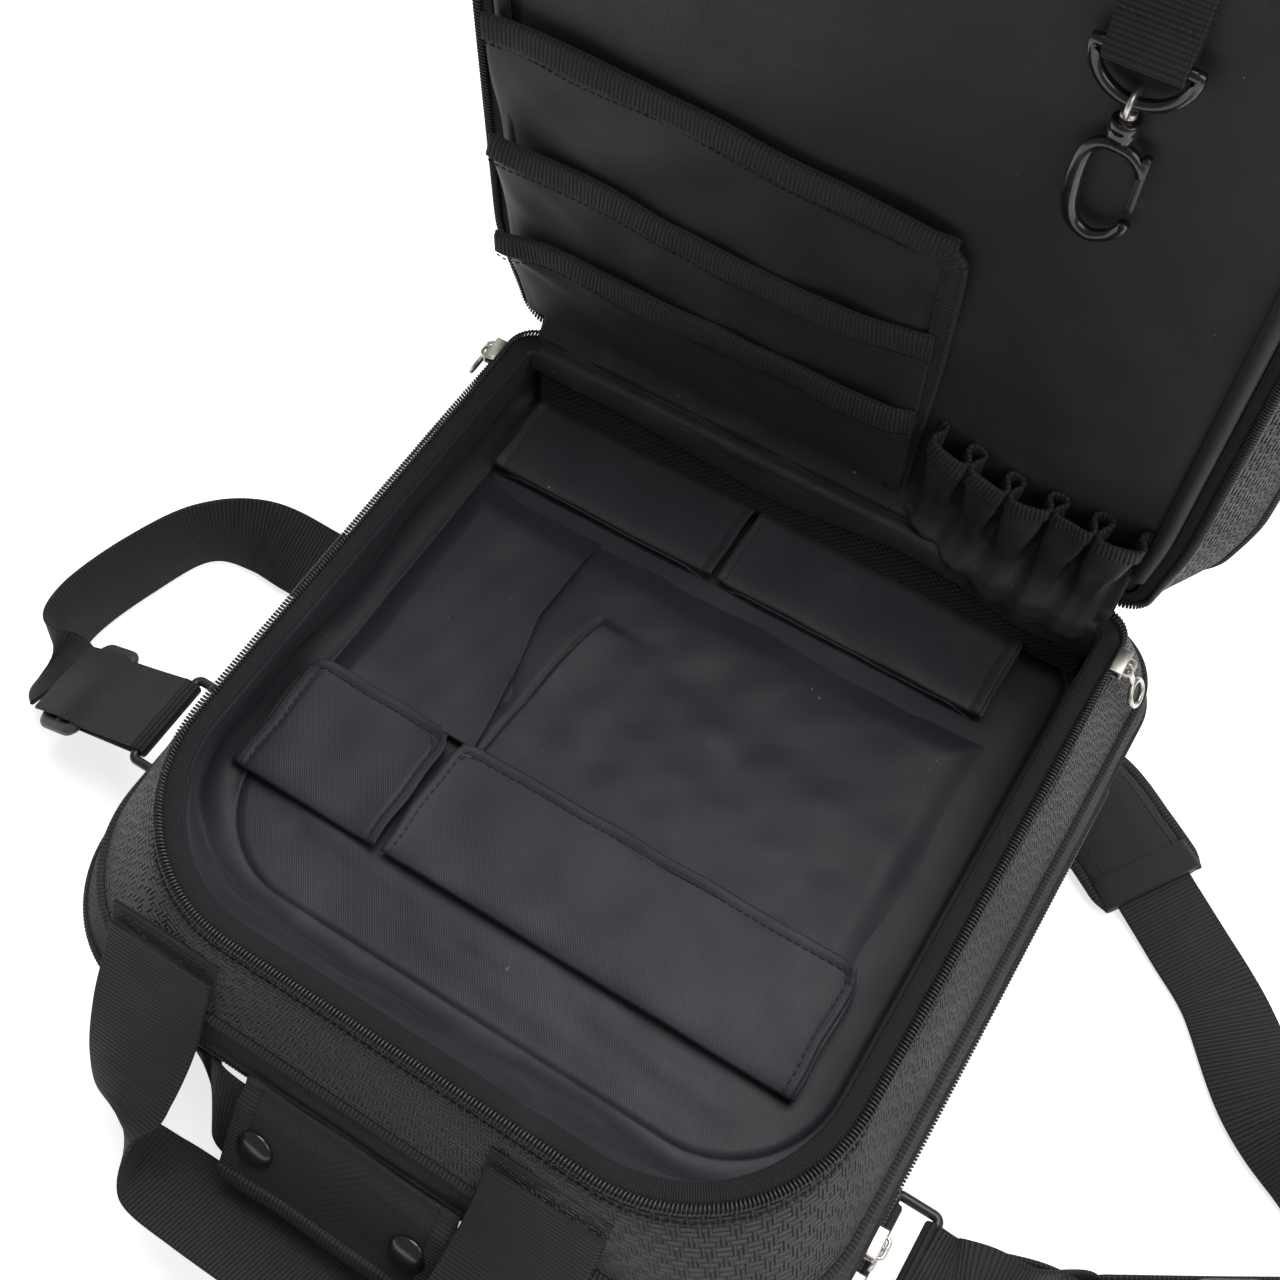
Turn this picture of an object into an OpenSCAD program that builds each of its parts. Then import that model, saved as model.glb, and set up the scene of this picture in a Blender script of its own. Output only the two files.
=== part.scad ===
// Trauma backpack, lying on its back panel with the lid panel standing open.
// +X runs along the lid's hinge, +Y points at the hinge, +Z is up.
// The origin is on the underside of the centre back pad.

/* [Main compartment] */
// Width of the zip opening
rim_w = 290; // [260:1:330]
// Distance from the origin to the zip on the handle side
rim_near = 152; // [140:1:180]
// Distance from the origin to the zip on the hinge side
rim_far = 140; // [130:1:160]
// Corner radius of the opening on the handle side
rim_r_near = 69; // [50:1:75]
// Corner radius of the opening on the hinge side
rim_r_far = 12; // [10:1:20]
// Height of the zip opening above the ground
rim_z = 130; // [122:1:150]
// How far the front gusset flares out, from the zip to the piping
flare = 16; // [8:1:20]
// Drop from the zip to the piping
flare_drop = 36; // [30:1:42]
// Thickness of the padded gusset walls
wall_t = 3; // [2:0.5:4]
// Thickness of the lining
lining_t = 1.5; // [1:0.5:2]

/* [Back and rear compartment] */
// Height of the foam pads that the pack rests on
pad_h = 12; // [10:1:14]
// Thickness of the back panel
back_t = 6; // [4:1:8]
// Height of the rear zip above the ground
rear_zip_z = 75; // [70:1:78]
// How far the rear compartment bulges past the piping at its zip
bulge = 5; // [2:1:8]
// Height of the main compartment's floor board
floor_z = 82; // [80:1:84]
// Thickness of the floor board
floor_t = 3; // [2:0.5:4]
// How far the piping stands out from the wall
piping_out = 1.6; // [1:0.1:3]

/* [Lid] */
// Thickness of the padded lid panel
lid_t = 30; // [24:1:32]
// Distance from the hinge to the lid's far zip
lid_len = 292; // [270:1:310]
// Length of each pen loop
loop_len = 46; // [36:1:60]
// Number of pen loops
loop_count = 5; // [3:1:5]
// Distance from the lid's far zip down to the key ring's bar
key_drop = 48; // [44:1:80]
// Sideways place of the key clip
key_x = 78; // [60:1:90]

/* [Inner pockets] */
// Depth of each inner flap from its fold to its stitched edge
flap_len = 56; // [40:1:60]
// Thickness of an inner flap
flap_t = 2.4; // [2:0.2:3]
// Height of a packed-flat inner pocket
pocket_h = 6; // [4:1:8]

/* [Webbing and hardware] */
// Width of the carry handle's webbing
handle_w = 48; // [40:1:50]
// Width of the shoulder strap's webbing
strap_w = 38; // [30:1:40]
// Thickness of the strap's webbing
strap_t = 2.2; // [1.6:0.2:2.6]
// Width of the shoulder pad
pad_w = 54; // [48:1:58]
// Wire radius of the strap rings
ring_r = 2.2; // [2:0.1:2.6]
// Wire radius of the key ring
key_wire = 2; // [1.6:0.1:2.2]
// Length of a zip slider
slider_len = 13; // [11:0.5:15]
// Diameter of the wrap's press studs
stud_d = 16; // [12:1:18]

/* [Hidden] */
$fn = 48;

gap = 0.3;                          // running clearance between bodies
black = "#1d1d20";
lining_black = "#26242a";
web_black = "#232327";
plastic_black = "#141416";
zinc = "#b9b6ae";

rim_hw = rim_w / 2;
pipe_z = rim_z - flare_drop - 2;    // centre height of the piping
pipe_hw = rim_hw + flare;
pipe_near = rim_near + flare + 4;
pipe_far = rim_far + flare + 2;
gusset_top = rim_z - 5;
tape_low = rear_zip_z - 4;
tape_high = rear_zip_z + 4;
rear_hw = pipe_hw + bulge;
rear_near = pipe_near + bulge + 2;
rear_r = 52;                        // near corner radius at the rear zip
inner_top = floor_z + floor_t;
hinge_y = rim_far + 2;
hinge_z = rim_z + 1;
back_hw = pipe_hw - 3;              // half width of the back panel
back_near = pipe_near - 2;          // near edge of the back panel
back_top = pad_h + back_t;
// Where the lower gusset's side and near walls stand at height z
function side_wall(z) = back_hw + (rear_hw - back_hw) * (z - back_top) / (tape_low - back_top);
function near_wall(z) = -back_near - (rear_near - back_near) * (z - back_top) / (tape_low - back_top);

// ---- outlines: straight sides joined by round corners, all exact ----
module outline(hw, near, far, rn, rf) {
    polygon([[-hw, -near + rn], [-hw + rn, -near], [hw - rn, -near], [hw, -near + rn],
        [hw, far - rf], [hw - rf, far], [-hw + rf, far], [-hw, far - rf]]);
    for (side = [-1, 1]) {
        translate([side * (hw - rn), -near + rn]) circle(r = rn, $fn = 96);
        translate([side * (hw - rf), far - rf]) circle(r = rf, $fn = 64);
    }
}
module rim_outline(inset = 0) {
    outline(rim_hw - inset, rim_near - inset, rim_far - inset, rim_r_near - inset, rim_r_far - inset);
}
module pipe_outline(inset = 0) {
    outline(pipe_hw - inset, pipe_near - inset, pipe_far - inset, 56 - inset, 28 - inset);
}
module rear_outline(inset = 0) {
    outline(rear_hw - inset, rear_near - inset, pipe_far - inset, rear_r - inset, 28 - inset);
}
module back_outline(inset = 0) {
    outline(back_hw - inset, back_near - inset, pipe_far - 2 - inset, 44 - inset, 30 - inset);
}
// A thin slice at height z, used as the ends of a lofted wall
module slice(z) {
    translate([0, 0, z]) linear_extrude(0.01) children();
}
// A wall of even thickness between two heights
module band(z0, z1) {
    translate([0, 0, z0]) linear_extrude(z1 - z0) children();
}

// ---- webbing that bends and twists: a flat section swept along smoothed points ----
// Each stop is [centre, direction of the width]
function smooth(a, b, c, d, t) = 0.5 * (2 * b + (c - a) * t + (2 * a - 5 * b + 4 * c - d) * t * t
    + (3 * b - a - 3 * c + d) * t * t * t);
function stop(list, i, k) = list[max(0, min(len(list) - 1, i))][k];
function sampled(list, k, steps) = [
    for (i = [0:len(list) - 2]) for (j = [0:steps - 1])
        smooth(stop(list, i - 1, k), list[i][k], list[i + 1][k], stop(list, i + 2, k), j / steps),
    list[len(list) - 1][k]];
function unit(v) = v / norm(v);
module ribbon(stops, width, thick, steps = 5) {
    centre = sampled(stops, 0, steps);
    across = sampled(stops, 1, steps);
    n = len(centre);
    tangent = [for (i = [0:n - 1]) unit(centre[min(n - 1, i + 1)] - centre[max(0, i - 1)])];
    wide = [for (i = [0:n - 1]) unit(across[i] - (across[i] * tangent[i]) * tangent[i])];
    up = [for (i = [0:n - 1]) cross(tangent[i], wide[i])];
    corners = [[-1, -1], [1, -1], [1, 1], [-1, 1]];
    points = [for (i = [0:n - 1]) for (c = corners)
        centre[i] + wide[i] * c[0] * width / 2 + up[i] * c[1] * thick / 2];
    sides = [for (i = [0:n - 2]) for (c = [0:3]) for (half = [0, 1])
        half == 0 ? [4 * i + c, 4 * i + 4 + c, 4 * i + (c + 1) % 4]
                  : [4 * i + (c + 1) % 4, 4 * i + 4 + c, 4 * i + 4 + (c + 1) % 4]];
    ends = [[0, 1, 2], [0, 2, 3], [4 * n - 2, 4 * n - 3, 4 * n - 4], [4 * n - 1, 4 * n - 2, 4 * n - 4]];
    polyhedron(points, concat(sides, ends));
}

// ---- back ----
module back_panel() {
    color(black) band(pad_h, back_top) back_outline();
}
// The slanting channel between the pads lets the shoulder strap lie flat underneath
channel_slope = 0.264;
function channel_y(x) = 53 + channel_slope * (x + 165);
channel_half = pad_w / 2 + 4;
module back_pads() {
    color(lining_black) band(0, pad_h) {
        offset_pad([-150, -160], [150, -98]);
        offset_pad([-62, -92], [62, 24]);
        offset_pad([-150, -92], [-68, 16]);
        offset_pad([68, -92], [150, 24]);
        polygon([[-148, 154], [-26, 154], [-26, channel_y(-26) + channel_half],
            [-148, channel_y(-148) + channel_half]]);
    }
}
module offset_pad(low, high) {
    r = 10;
    translate(low) {
        translate([r, 0]) square([high[0] - low[0] - 2 * r, high[1] - low[1]]);
        translate([0, r]) square([high[0] - low[0], high[1] - low[1] - 2 * r]);
        for (x = [r, high[0] - low[0] - r]) for (y = [r, high[1] - low[1] - r])
            translate([x, y]) circle(r);
    }
}

// ---- rear compartment ----
module rear_gusset_lower() {
    color(black) difference() {
        hull() {
            slice(back_top) back_outline();
            slice(tape_low - 0.01) rear_outline();
        }
        hull() {
            slice(back_top - 0.01) back_outline(wall_t);
            slice(tape_low) rear_outline(wall_t);
        }
    }
}
module rear_zip_tape() {
    color(web_black) band(tape_low, tape_high) difference() {
        rear_outline(0.6);
        rear_outline(wall_t);
    }
    color(web_black) band(rear_zip_z - 1.4, rear_zip_z + 1.4) difference() {
        rear_outline(-0.9);
        rear_outline(0.6);
        translate([-rear_hw - 5, -40]) square([rear_hw + 5, 300]);
        translate([-10, pipe_far - 60]) square([300, 90]);
    }
}
module rear_gusset_upper() {
    color(black) difference() {
        hull() {
            slice(tape_high) rear_outline();
            slice(pipe_z - 0.01) pipe_outline();
        }
        hull() {
            slice(tape_high - 0.01) rear_outline(wall_t);
            slice(pipe_z) pipe_outline(wall_t);
        }
    }
}
module piping() {
    color(web_black) band(pipe_z, pipe_z + 2) difference() {
        pipe_outline(-piping_out);
        pipe_outline(wall_t);
    }
}
// The webbed harness that folds away behind the rear zip: one padded strap a side
harness_z = back_top + gap;
module stowed_strap(side) {
    color(black) band(harness_z, harness_z + 12) {
        translate([side * 70 - 30, -128]) square([60, 236]);
        translate([side * 70, -128]) circle(30);
        translate([side * 70, 108]) circle(30);
    }
    color(web_black) band(harness_z + 12, harness_z + 12 + strap_t)
        translate([side * 70 - strap_w / 2, -120]) square([strap_w, 200]);
}
module stowed_harness_left() { stowed_strap(-1); }
module stowed_harness_right() { stowed_strap(1); }
module harness_buckles() {
    color(plastic_black) for (side = [-1, 1])
        translate([side * 70, -90, harness_z + 12 + strap_t]) linear_extrude(6) difference() {
            translate([-25, -16]) square([50, 32]);
            for (y = [-10, 4]) translate([-20, y]) square([40, 6]);
        }
}

// ---- main compartment ----
module front_gusset() {
    color(black) difference() {
        hull() {
            slice(pipe_z + 2) pipe_outline();
            slice(gusset_top - 0.01) rim_outline();
        }
        hull() {
            slice(pipe_z + 1.99) pipe_outline(wall_t);
            slice(gusset_top) rim_outline(wall_t);
        }
    }
}
module main_zip_tape() {
    color(web_black) {
        band(gusset_top, rim_z - 0.5) difference() {
            rim_outline(1.6);
            rim_outline(wall_t + 1);
        }
        band(rim_z - 2.8, rim_z - 0.5) difference() {
            rim_outline(-2);
            rim_outline(1.6);
            translate([-rim_hw + rim_r_far, rim_far - 6]) square([rim_w - 2 * rim_r_far, 20]);
        }
    }
}
module main_lining() {
    color(lining_black) difference() {
        hull() {
            slice(inner_top) pipe_outline(wall_t + gap + 3);
            slice(gusset_top - 4) rim_outline(wall_t + gap + 1);
        }
        hull() {
            slice(inner_top - 0.01) pipe_outline(wall_t + gap + 3 + lining_t);
            slice(gusset_top - 3.98) rim_outline(wall_t + gap + 1 + lining_t);
        }
    }
}
module floor_board() {
    color(lining_black) band(floor_z, inner_top) pipe_outline(wall_t + gap);
}
module hinge_strip() {
    length = rim_w - 2 * rim_r_far - 4;
    color(lining_black) {
        translate([0, hinge_y, hinge_z]) rotate([0, 90, 0]) cylinder(r = 3, h = length, center = true);
        translate([-length / 2, rim_far - 3.6, rim_z - 0.5]) cube([length, 5.6, 1.4]);
    }
}

// ---- inner pockets and flaps: [left, right, fold, depth of the pocket below the fold] ----
near_fold = -85;
far_fold = 92;
split_near = -66;
split_far = -18;
near_left = [-136.6, split_near - 1.5, near_fold, 168];
near_right = [split_near + 1.5, 119, near_fold, 168];
far_left = [-132, split_far - 1.5, far_fold, 54];
far_right = [split_far + 1.5, 108, far_fold, 54];
module pocket(spec, inset) {
    color(lining_black) translate([spec[0] + inset, spec[2] + 6, inner_top])
        cube([spec[1] - spec[0] - 2 * inset, spec[3] - 6, pocket_h]);
}
module flap(spec, length) {
    color(lining_black) translate([spec[0], spec[2], inner_top + pocket_h + gap])
        cube([spec[1] - spec[0], length, flap_t]);
}
module pocket_near_left() { pocket(near_left, 2); }
module pocket_near_right() { pocket(near_right, 2); }
module pocket_far_left() { pocket(far_left, 2); }
module pocket_far_right() { pocket(far_right, 2); }
module flap_near_left() { flap(near_left, flap_len); }
module flap_near_right() { flap(near_right, flap_len); }
module flap_far_left() { flap(far_left, flap_len - 8); }
module flap_far_right() { flap(far_right, flap_len - 8); }

// ---- lid, modelled along its own face: X sideways, Y away from the hinge, Z inwards ----
module on_lid() {
    translate([0, hinge_y, hinge_z]) rotate([90, 0, 0]) children();
}
lid_hw = rim_hw + 15;
module lid_zip_outline(inset = 0) {
    mirror([0, 1]) outline(rim_hw + 0.5 - inset, lid_len + 1 - inset, -0.5 - inset,
        rim_r_near - inset, rim_r_far - inset);
}
module lid_outer_outline(inset = 0) {
    mirror([0, 1]) outline(lid_hw - inset, lid_len + 14 - inset, -inset,
        64 - inset, 24 - inset);
}
lining_z = -4;                      // inner face of the lid's lining
module lid_panel() {
    color(black) on_lid() band(-lid_t, -lid_t + 3) lid_outer_outline();
}
module lid_foam() {
    color(lining_black) on_lid() band(-lid_t + 3, lining_z - 3) lid_zip_outline(8);
}
module lid_lining() {
    color(lining_black) on_lid() band(lining_z - 3, lining_z) lid_zip_outline(wall_t + 2);
}
module lid_border() {
    color(black) on_lid() difference() {
        hull() {
            slice(-lid_t + 3) lid_outer_outline();
            slice(-3.51) lid_zip_outline();
        }
        hull() {
            slice(-lid_t + 2.99) lid_outer_outline(wall_t);
            slice(-3.5) lid_zip_outline(wall_t);
        }
    }
}
module lid_zip_tape() {
    color(web_black) on_lid() {
        band(-3.5, -1.2) difference() {
            lid_zip_outline(-1.4);
            lid_zip_outline(wall_t + 1);
            translate([-rim_hw + rim_r_far, -10]) square([rim_w - 2 * rim_r_far, 20]);
        }
    }
}
module lid_welt() {
    color(lining_black) on_lid() band(lining_z, 0) difference() {
        lid_zip_outline(wall_t + 2);
        lid_zip_outline(welt_in);
        translate([-rim_hw, -10]) square([rim_w, 30]);
    }
}
// Three tiers of flat pockets, the lower ones in front
welt_in = wall_t + 8;               // inner edge of the welt, from the zip
tier_left = -(rim_hw + 0.5 - welt_in - 0.5);
tier_right = 34;
tier_t = 2.2;
tiers = [158, 104, 60];
module lid_tier(i) {
    color(lining_black) on_lid() translate([tier_left, 12, lining_z + i * tier_t])
        cube([tier_right - tier_left, tiers[i] - 12, tier_t]);
}
module lid_pocket_upper() { lid_tier(0); }
module lid_pocket_middle() { lid_tier(1); }
module lid_pocket_lower() { lid_tier(2); }
module lid_bindings() {
    color(web_black) on_lid() {
        for (i = [0, 1, 2]) translate([tier_left, tiers[i] - 10, lining_z + (i + 1) * tier_t])
            cube([tier_right - tier_left, 10, 0.8]);
        translate([tier_right + 0.3, 12, lining_z]) cube([9, tiers[0] - 12, 3]);
    }
}
loop_pitch = 17;
loop_r = 8;
loops_left = -tier_left - loop_pitch * loop_count;
module pen_loops() {
    color(lining_black) on_lid() translate([loops_left, 6, lining_z]) {
        translate([-2, 0, 0]) cube([loop_pitch * loop_count + 2, loop_len, 1]);
        for (i = [0:loop_count - 1])
            translate([loop_r + i * loop_pitch, loop_len, 1]) rotate([90, 0, 0]) linear_extrude(loop_len)
                difference() {
                    circle(loop_r);
                    circle(loop_r - 1.4);
                    translate([-loop_r, -2 * loop_r]) square(2 * loop_r);
                }
    }
}

// ---- key clip on the lid ----
key_ring_s = lid_len - key_drop;
fold_r = key_wire + gap + 2;        // outer radius of the webbing folded round the ring's bar
key_z = lining_z + fold_r + 1;      // height of the ring's bar
ring_arc = 15.5;                      // radius of the round side of the ring
eye_s = key_ring_s - ring_arc;      // where the swivel's eye holds the ring
eye_bore = key_wire + 0.6;
post_r = 2;
post_top = eye_s - eye_bore - 1;
collar_top = eye_s - eye_bore - 3;
collar_len = 7;
rivet_s = collar_top - collar_len - gap;
oval_r = 9.5;
hook_wire = 2.3;
oval_top = collar_top - collar_len / 2 - oval_r;
oval_low = oval_top - 20;
gate_s = oval_top + 1;              // height of the gate's pin
module key_webbing() {
    color(web_black) on_lid() translate([key_x, 0, 0]) difference() {
        union() {
            translate([-12.5, key_ring_s + 3, lining_z]) cube([25, 29, 5]);
            translate([-12.5, key_ring_s, key_z]) rotate([0, 90, 0]) cylinder(r = fold_r, h = 25);
        }
        translate([-13, key_ring_s, key_z]) rotate([0, 90, 0]) cylinder(r = key_wire + gap, h = 26);
    }
}
// Half of a wire ring, on the side of +Y or -Y, a little past its middle
module half_ring(radius, wire, side) {
    reach = radius + wire + 1;
    intersection() {
        rotate_extrude($fn = 64) translate([radius, 0]) circle(wire, $fn = 32);
        translate([-reach, side > 0 ? -0.5 : -reach, -wire - 1]) cube([2 * reach, reach + 0.5, 2 * wire + 2]);
    }
}
module key_ring() {
    color(plastic_black) on_lid() translate([key_x, key_ring_s, key_z]) {
        rotate([0, 90, 0]) cylinder(r = key_wire, h = 2 * ring_arc, center = true);
        for (side = [-1, 1]) translate([side * ring_arc, 0, 0]) rotate([90, 0, 0])
            cylinder(r = key_wire + 0.5, h = 2 * key_wire + 1.6, center = true);
        half_ring(ring_arc, key_wire, -1);
    }
}
module key_swivel() {
    color(zinc) on_lid() translate([key_x, eye_s, key_z]) {
        difference() {
            rotate([0, 90, 0]) cylinder(r = eye_bore + 1.8, h = 5, center = true);
            rotate([0, 90, 0]) cylinder(r = eye_bore, h = 6, center = true);
        }
        translate([0, post_top - eye_s, 0]) rotate([90, 0, 0])
            cylinder(r = post_r, h = post_top - rivet_s + 1);
        translate([0, rivet_s - eye_s, 0]) rotate([90, 0, 0]) cylinder(r = 3.2, h = 1.8);
    }
}
module key_hook() {
    color(plastic_black) on_lid() translate([key_x, 0, key_z]) difference() {
        union() {
            translate([0, collar_top, 0]) rotate([90, 0, 0]) cylinder(r = 4.6, h = collar_len);
            translate([0, oval_top, 0]) half_ring(oval_r, hook_wire, 1);
            translate([0, oval_low, 0]) half_ring(oval_r, hook_wire, -1);
            translate([-oval_r, oval_low - 1, 0]) rotate([-90, 0, 0])
                cylinder(r = hook_wire + 0.3, h = oval_top - oval_low + 2);
            for (side = [-1, 1]) translate([oval_r, gate_s, side * 2.9])
                cylinder(r = 3.2, h = 1.2, center = true);
            translate([oval_r, gate_s, 0]) cylinder(r = 0.9, h = 6, center = true);
        }
        translate([0, collar_top + 1, 0]) rotate([90, 0, 0])
            cylinder(r = post_r + gap, h = collar_len + oval_r);
        translate([0, rivet_s + gap, 0]) rotate([90, 0, 0]) cylinder(r = 3.6, h = 6);
        difference() {
            translate([oval_r - 3.3, gate_s - 4.5, -2.2]) cube([8, 7.5, 4.4]);
            translate([oval_r, gate_s, 0]) cylinder(r = 0.9, h = 6, center = true);
        }
    }
}
module hook_gate() {
    color(plastic_black) on_lid() translate([key_x + oval_r, 0, key_z]) difference() {
        union() {
            translate([0, gate_s, 0]) cylinder(r = 2.4, h = 3.8, center = true);
            translate([0, gate_s - 1.2, 0]) rotate([90, 0, 0])
                cylinder(r = 1.7, h = gate_s - 1.2 - oval_low - 0.9);
        }
        translate([0, gate_s, 0]) cylinder(r = 0.95, h = 6, center = true);
    }
}

// ---- zip sliders and their pulls ----
// Local axes: X out of the pack's side, Y along the teeth; the bead's outer face is at x = 0
bead_t = 2.3;
module slider_jaws(inner, half_gap) {
    for (side = [-1, 1]) translate([-inner, -slider_len / 2, side > 0 ? half_gap : -half_gap - 1.2])
        cube([inner + gap + 1.7, slider_len, 1.2]);
    translate([gap, -slider_len / 2, -half_gap - 1.2]) cube([1.7, slider_len, 2 * half_gap + 2.4]);
    for (side = [-1, 1]) translate([gap + 1.7, side * 2.9 - 0.5, -2]) cube([4, 1, 4]);
    translate([gap + 4, 0, 0]) rotate([90, 0, 0]) cylinder(r = 0.8, h = 6, center = true);
}
module pull_shape() {
    rotate([90, 0, 0]) difference() {
        cylinder(r = 1.9, h = 4, center = true);
        cylinder(r = 0.85, h = 5, center = true);
    }
    translate([-0.7, -2, -12]) cube([1.4, 4, 10.6]);
    translate([0, 0, -16.5]) rotate([0, 90, 0]) rotate_extrude($fn = 48) translate([5, 0]) circle(1.1, $fn = 24);
}
slider_y = rim_far - rim_r_far - slider_len / 2 - 0.5;
bead_x = rim_hw + 2;
bead_z = rim_z - 0.5 - bead_t / 2;
pull_tilt = atan2(flare, gusset_top - pipe_z - 2);
module zip_slider() {
    color(zinc) translate([bead_x, slider_y, bead_z]) slider_jaws(3, bead_t / 2 + gap);
}
module zip_pull() {
    color(zinc) translate([bead_x + gap + 4, slider_y, bead_z]) rotate([0, -pull_tilt, 0]) pull_shape();
}
module zip_slider_right() { zip_slider(); }
module zip_slider_left() { mirror([1, 0, 0]) zip_slider(); }
module zip_pull_right() { zip_pull(); }
module zip_pull_left() { mirror([1, 0, 0]) zip_pull(); }

rear_slider_y = -rear_near + rear_r;
rear_bead_x = rear_hw + 0.9;
module rear_slider(shift) {
    color(zinc) translate([rear_bead_x, rear_slider_y + shift, rear_zip_z]) slider_jaws(1.2, 1.4 + gap);
}
module rear_pull(shift) {
    color(zinc) translate([rear_bead_x + gap + 4, rear_slider_y + shift, rear_zip_z]) pull_shape();
}
module rear_slider_a() { rear_slider(slider_len + 5); }
module rear_slider_b() { rear_slider(0); }
module rear_pull_a() { rear_pull(slider_len + 5); }
module rear_pull_b() { rear_pull(0); }

// ---- carry handles on the near side ----
handle_x = -18;                     // middle of the front handle
handle_half = 84;                   // from its middle to the middle of each leg
near_slope = atan2(pipe_near - rim_near, gusset_top - pipe_z - 2);
patch_z = 106;
patch_y = -rim_near - (gusset_top - patch_z) * tan(near_slope);
module handle_patches() {
    color(web_black) for (side = [-1, 1])
        translate([handle_x + side * handle_half, patch_y, patch_z]) rotate([-near_slope, 0, 0])
            translate([-handle_w / 2 - 2, -1.5, -12]) cube([handle_w + 4, 1.2, 24]);
}
// Where the legs are sewn on: clear of the patches by half the webbing and the gap
seam_y = patch_y - 3 * cos(near_slope);
seam_z = patch_z + 3 * sin(near_slope);
// One leg from its seam down to the grip: [sideways, out, height, direction of the width]
leg_stops = [
    [84, 0, 0, [1, 0, 0]],
    [84, -6, -9, [1, 0, 0]],
    [83, -19, -24, [1, 0, 0]],
    [81, -37, -41, [0.96, 0.2, -0.15]],
    [76, -51, -55, [0.8, 0.42, -0.4]],
    [60, -60, -67, [0.4, 0.64, -0.62]],
    [32, -61, -71, [0.05, 0.72, -0.7]]];
function leg(side) = [for (p = leg_stops)
    [[handle_x + side * p[0], seam_y + p[1], seam_z + p[2]], [side * p[3][0], p[3][1], p[3][2]]]];
function reversed(list) = [for (i = [len(list) - 1:-1:0]) list[i]];
module handle_front() {
    middle = [[[handle_x, seam_y - 61, seam_z - 71.5], [0, 0.72, -0.7]]];
    color(web_black) ribbon(concat(leg(-1), middle, reversed(leg(1))), handle_w, 2.4, 4);
}
wrap_tilt = 20;                     // lean of the rear handle, its upper edge towards the wall
wrap_y = -rear_near - 14;
wrap_z = 60;
wrap_x = -8;                        // middle of the wrap
wrap_len = 96;
sewn_z = 52;                        // middle of the rear handle's sewn ends
sewn_y = near_wall(sewn_z) - strap_t / 2 - gap - 0.1;
module handle_rear() {
    lean = [0, sin(wrap_tilt), cos(wrap_tilt)];
    flat = [0, near_wall(1) - near_wall(0), 1];
    color(web_black) ribbon([
        [[wrap_x - 98, sewn_y, sewn_z], flat],
        [[wrap_x - 82, sewn_y - 1, sewn_z], flat],
        [[wrap_x - 68, sewn_y - 9, sewn_z + 2], [0, 0.02, 1]],
        [[wrap_x - 52, wrap_y - 1, wrap_z], lean],
        [[wrap_x, wrap_y - 1, wrap_z], lean],
        [[wrap_x + 52, wrap_y - 1, wrap_z], lean],
        [[wrap_x + 68, sewn_y - 9, sewn_z + 2], [0, 0.02, 1]],
        [[wrap_x + 82, sewn_y - 1, sewn_z], flat],
        [[wrap_x + 98, sewn_y, sewn_z], flat]], strap_w, strap_t, 4);
}
module on_wrap() {
    translate([wrap_x, wrap_y - 1, wrap_z]) rotate([-wrap_tilt, 0, 0]) children();
}
wrap_half = 4.5;                    // half the wrap's thickness
module handle_wrap() {
    color(lining_black) on_wrap() difference() {
        translate([-wrap_len / 2, -wrap_half, -strap_w / 2 - 3]) cube([wrap_len, 2 * wrap_half, strap_w + 6]);
        translate([-wrap_len / 2 - 1, -strap_t, -strap_w / 2 - 0.6])
            cube([wrap_len + 2, 2 * strap_t, strap_w + 1.2]);
    }
}
module wrap_flap() {
    color(lining_black) on_wrap() translate([-wrap_len / 2 + 2, -wrap_half - gap - 1.6, -strap_w / 2 + 4])
        cube([wrap_len - 4, 1.6, strap_w - 2]);
}
module press_studs() {
    color(plastic_black) on_wrap() for (side = [-1, 1])
        translate([side * 35, -wrap_half - gap - 1.6, 0]) rotate([90, 0, 0]) {
            cylinder(d = stud_d, h = 1.4);
            translate([0, 0, 1.4]) cylinder(d = stud_d - 4, h = 1.2);
        }
}

// ---- shoulder strap ----
ring_len = strap_w + 6;             // clear length inside the ring
ring_depth = 18;                    // from the bar that the tab holds to the bar that the strap holds
left_ring = [-77, 62];              // place along the wall and height
right_ring = [-94, 43];
tab_r = ring_r + gap + 2;
function ring_in(ring) = side_wall(ring[1] + 9) + tab_r + 0.6;
function ring_out(ring) = ring_in(ring) + ring_depth;
module ring_frame(ring) {
    translate([ring_in(ring), ring[0], ring[1]]) {
        for (x = [0, ring_depth]) translate([x, 0, 0]) rotate([90, 0, 0])
            cylinder(r = ring_r, h = ring_len, center = true);
        for (side = [-1, 1]) translate([0, side * ring_len / 2, 0]) {
            rotate([0, 90, 0]) cylinder(r = ring_r, h = ring_depth);
            for (x = [0, ring_depth]) translate([x, 0, 0]) rotate([0, 90, 0])
                cylinder(r = ring_r + 0.6, h = 2 * ring_r + 1.2, center = true);
        }
    }
}
module strap_rings() {
    color(plastic_black) {
        ring_frame(right_ring);
        mirror([1, 0, 0]) ring_frame(left_ring);
    }
}
module ring_tab(ring) {
    translate([0, ring[0], ring[1]]) difference() {
        union() {
            translate([ring_in(ring), 0, 0]) rotate([90, 0, 0])
                cylinder(r = tab_r, h = strap_w - 2, center = true);
            translate([side_wall(ring[1] + 9) + 0.2, -strap_w / 2 + 1, -5]) cube([2, strap_w - 2, 14]);
        }
        translate([ring_in(ring), 0, 0]) rotate([90, 0, 0])
            cylinder(r = ring_r + gap, h = strap_w, center = true);
    }
}
module ring_tabs() {
    color(web_black) {
        ring_tab(right_ring);
        mirror([1, 0, 0]) ring_tab(left_ring);
    }
}
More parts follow.
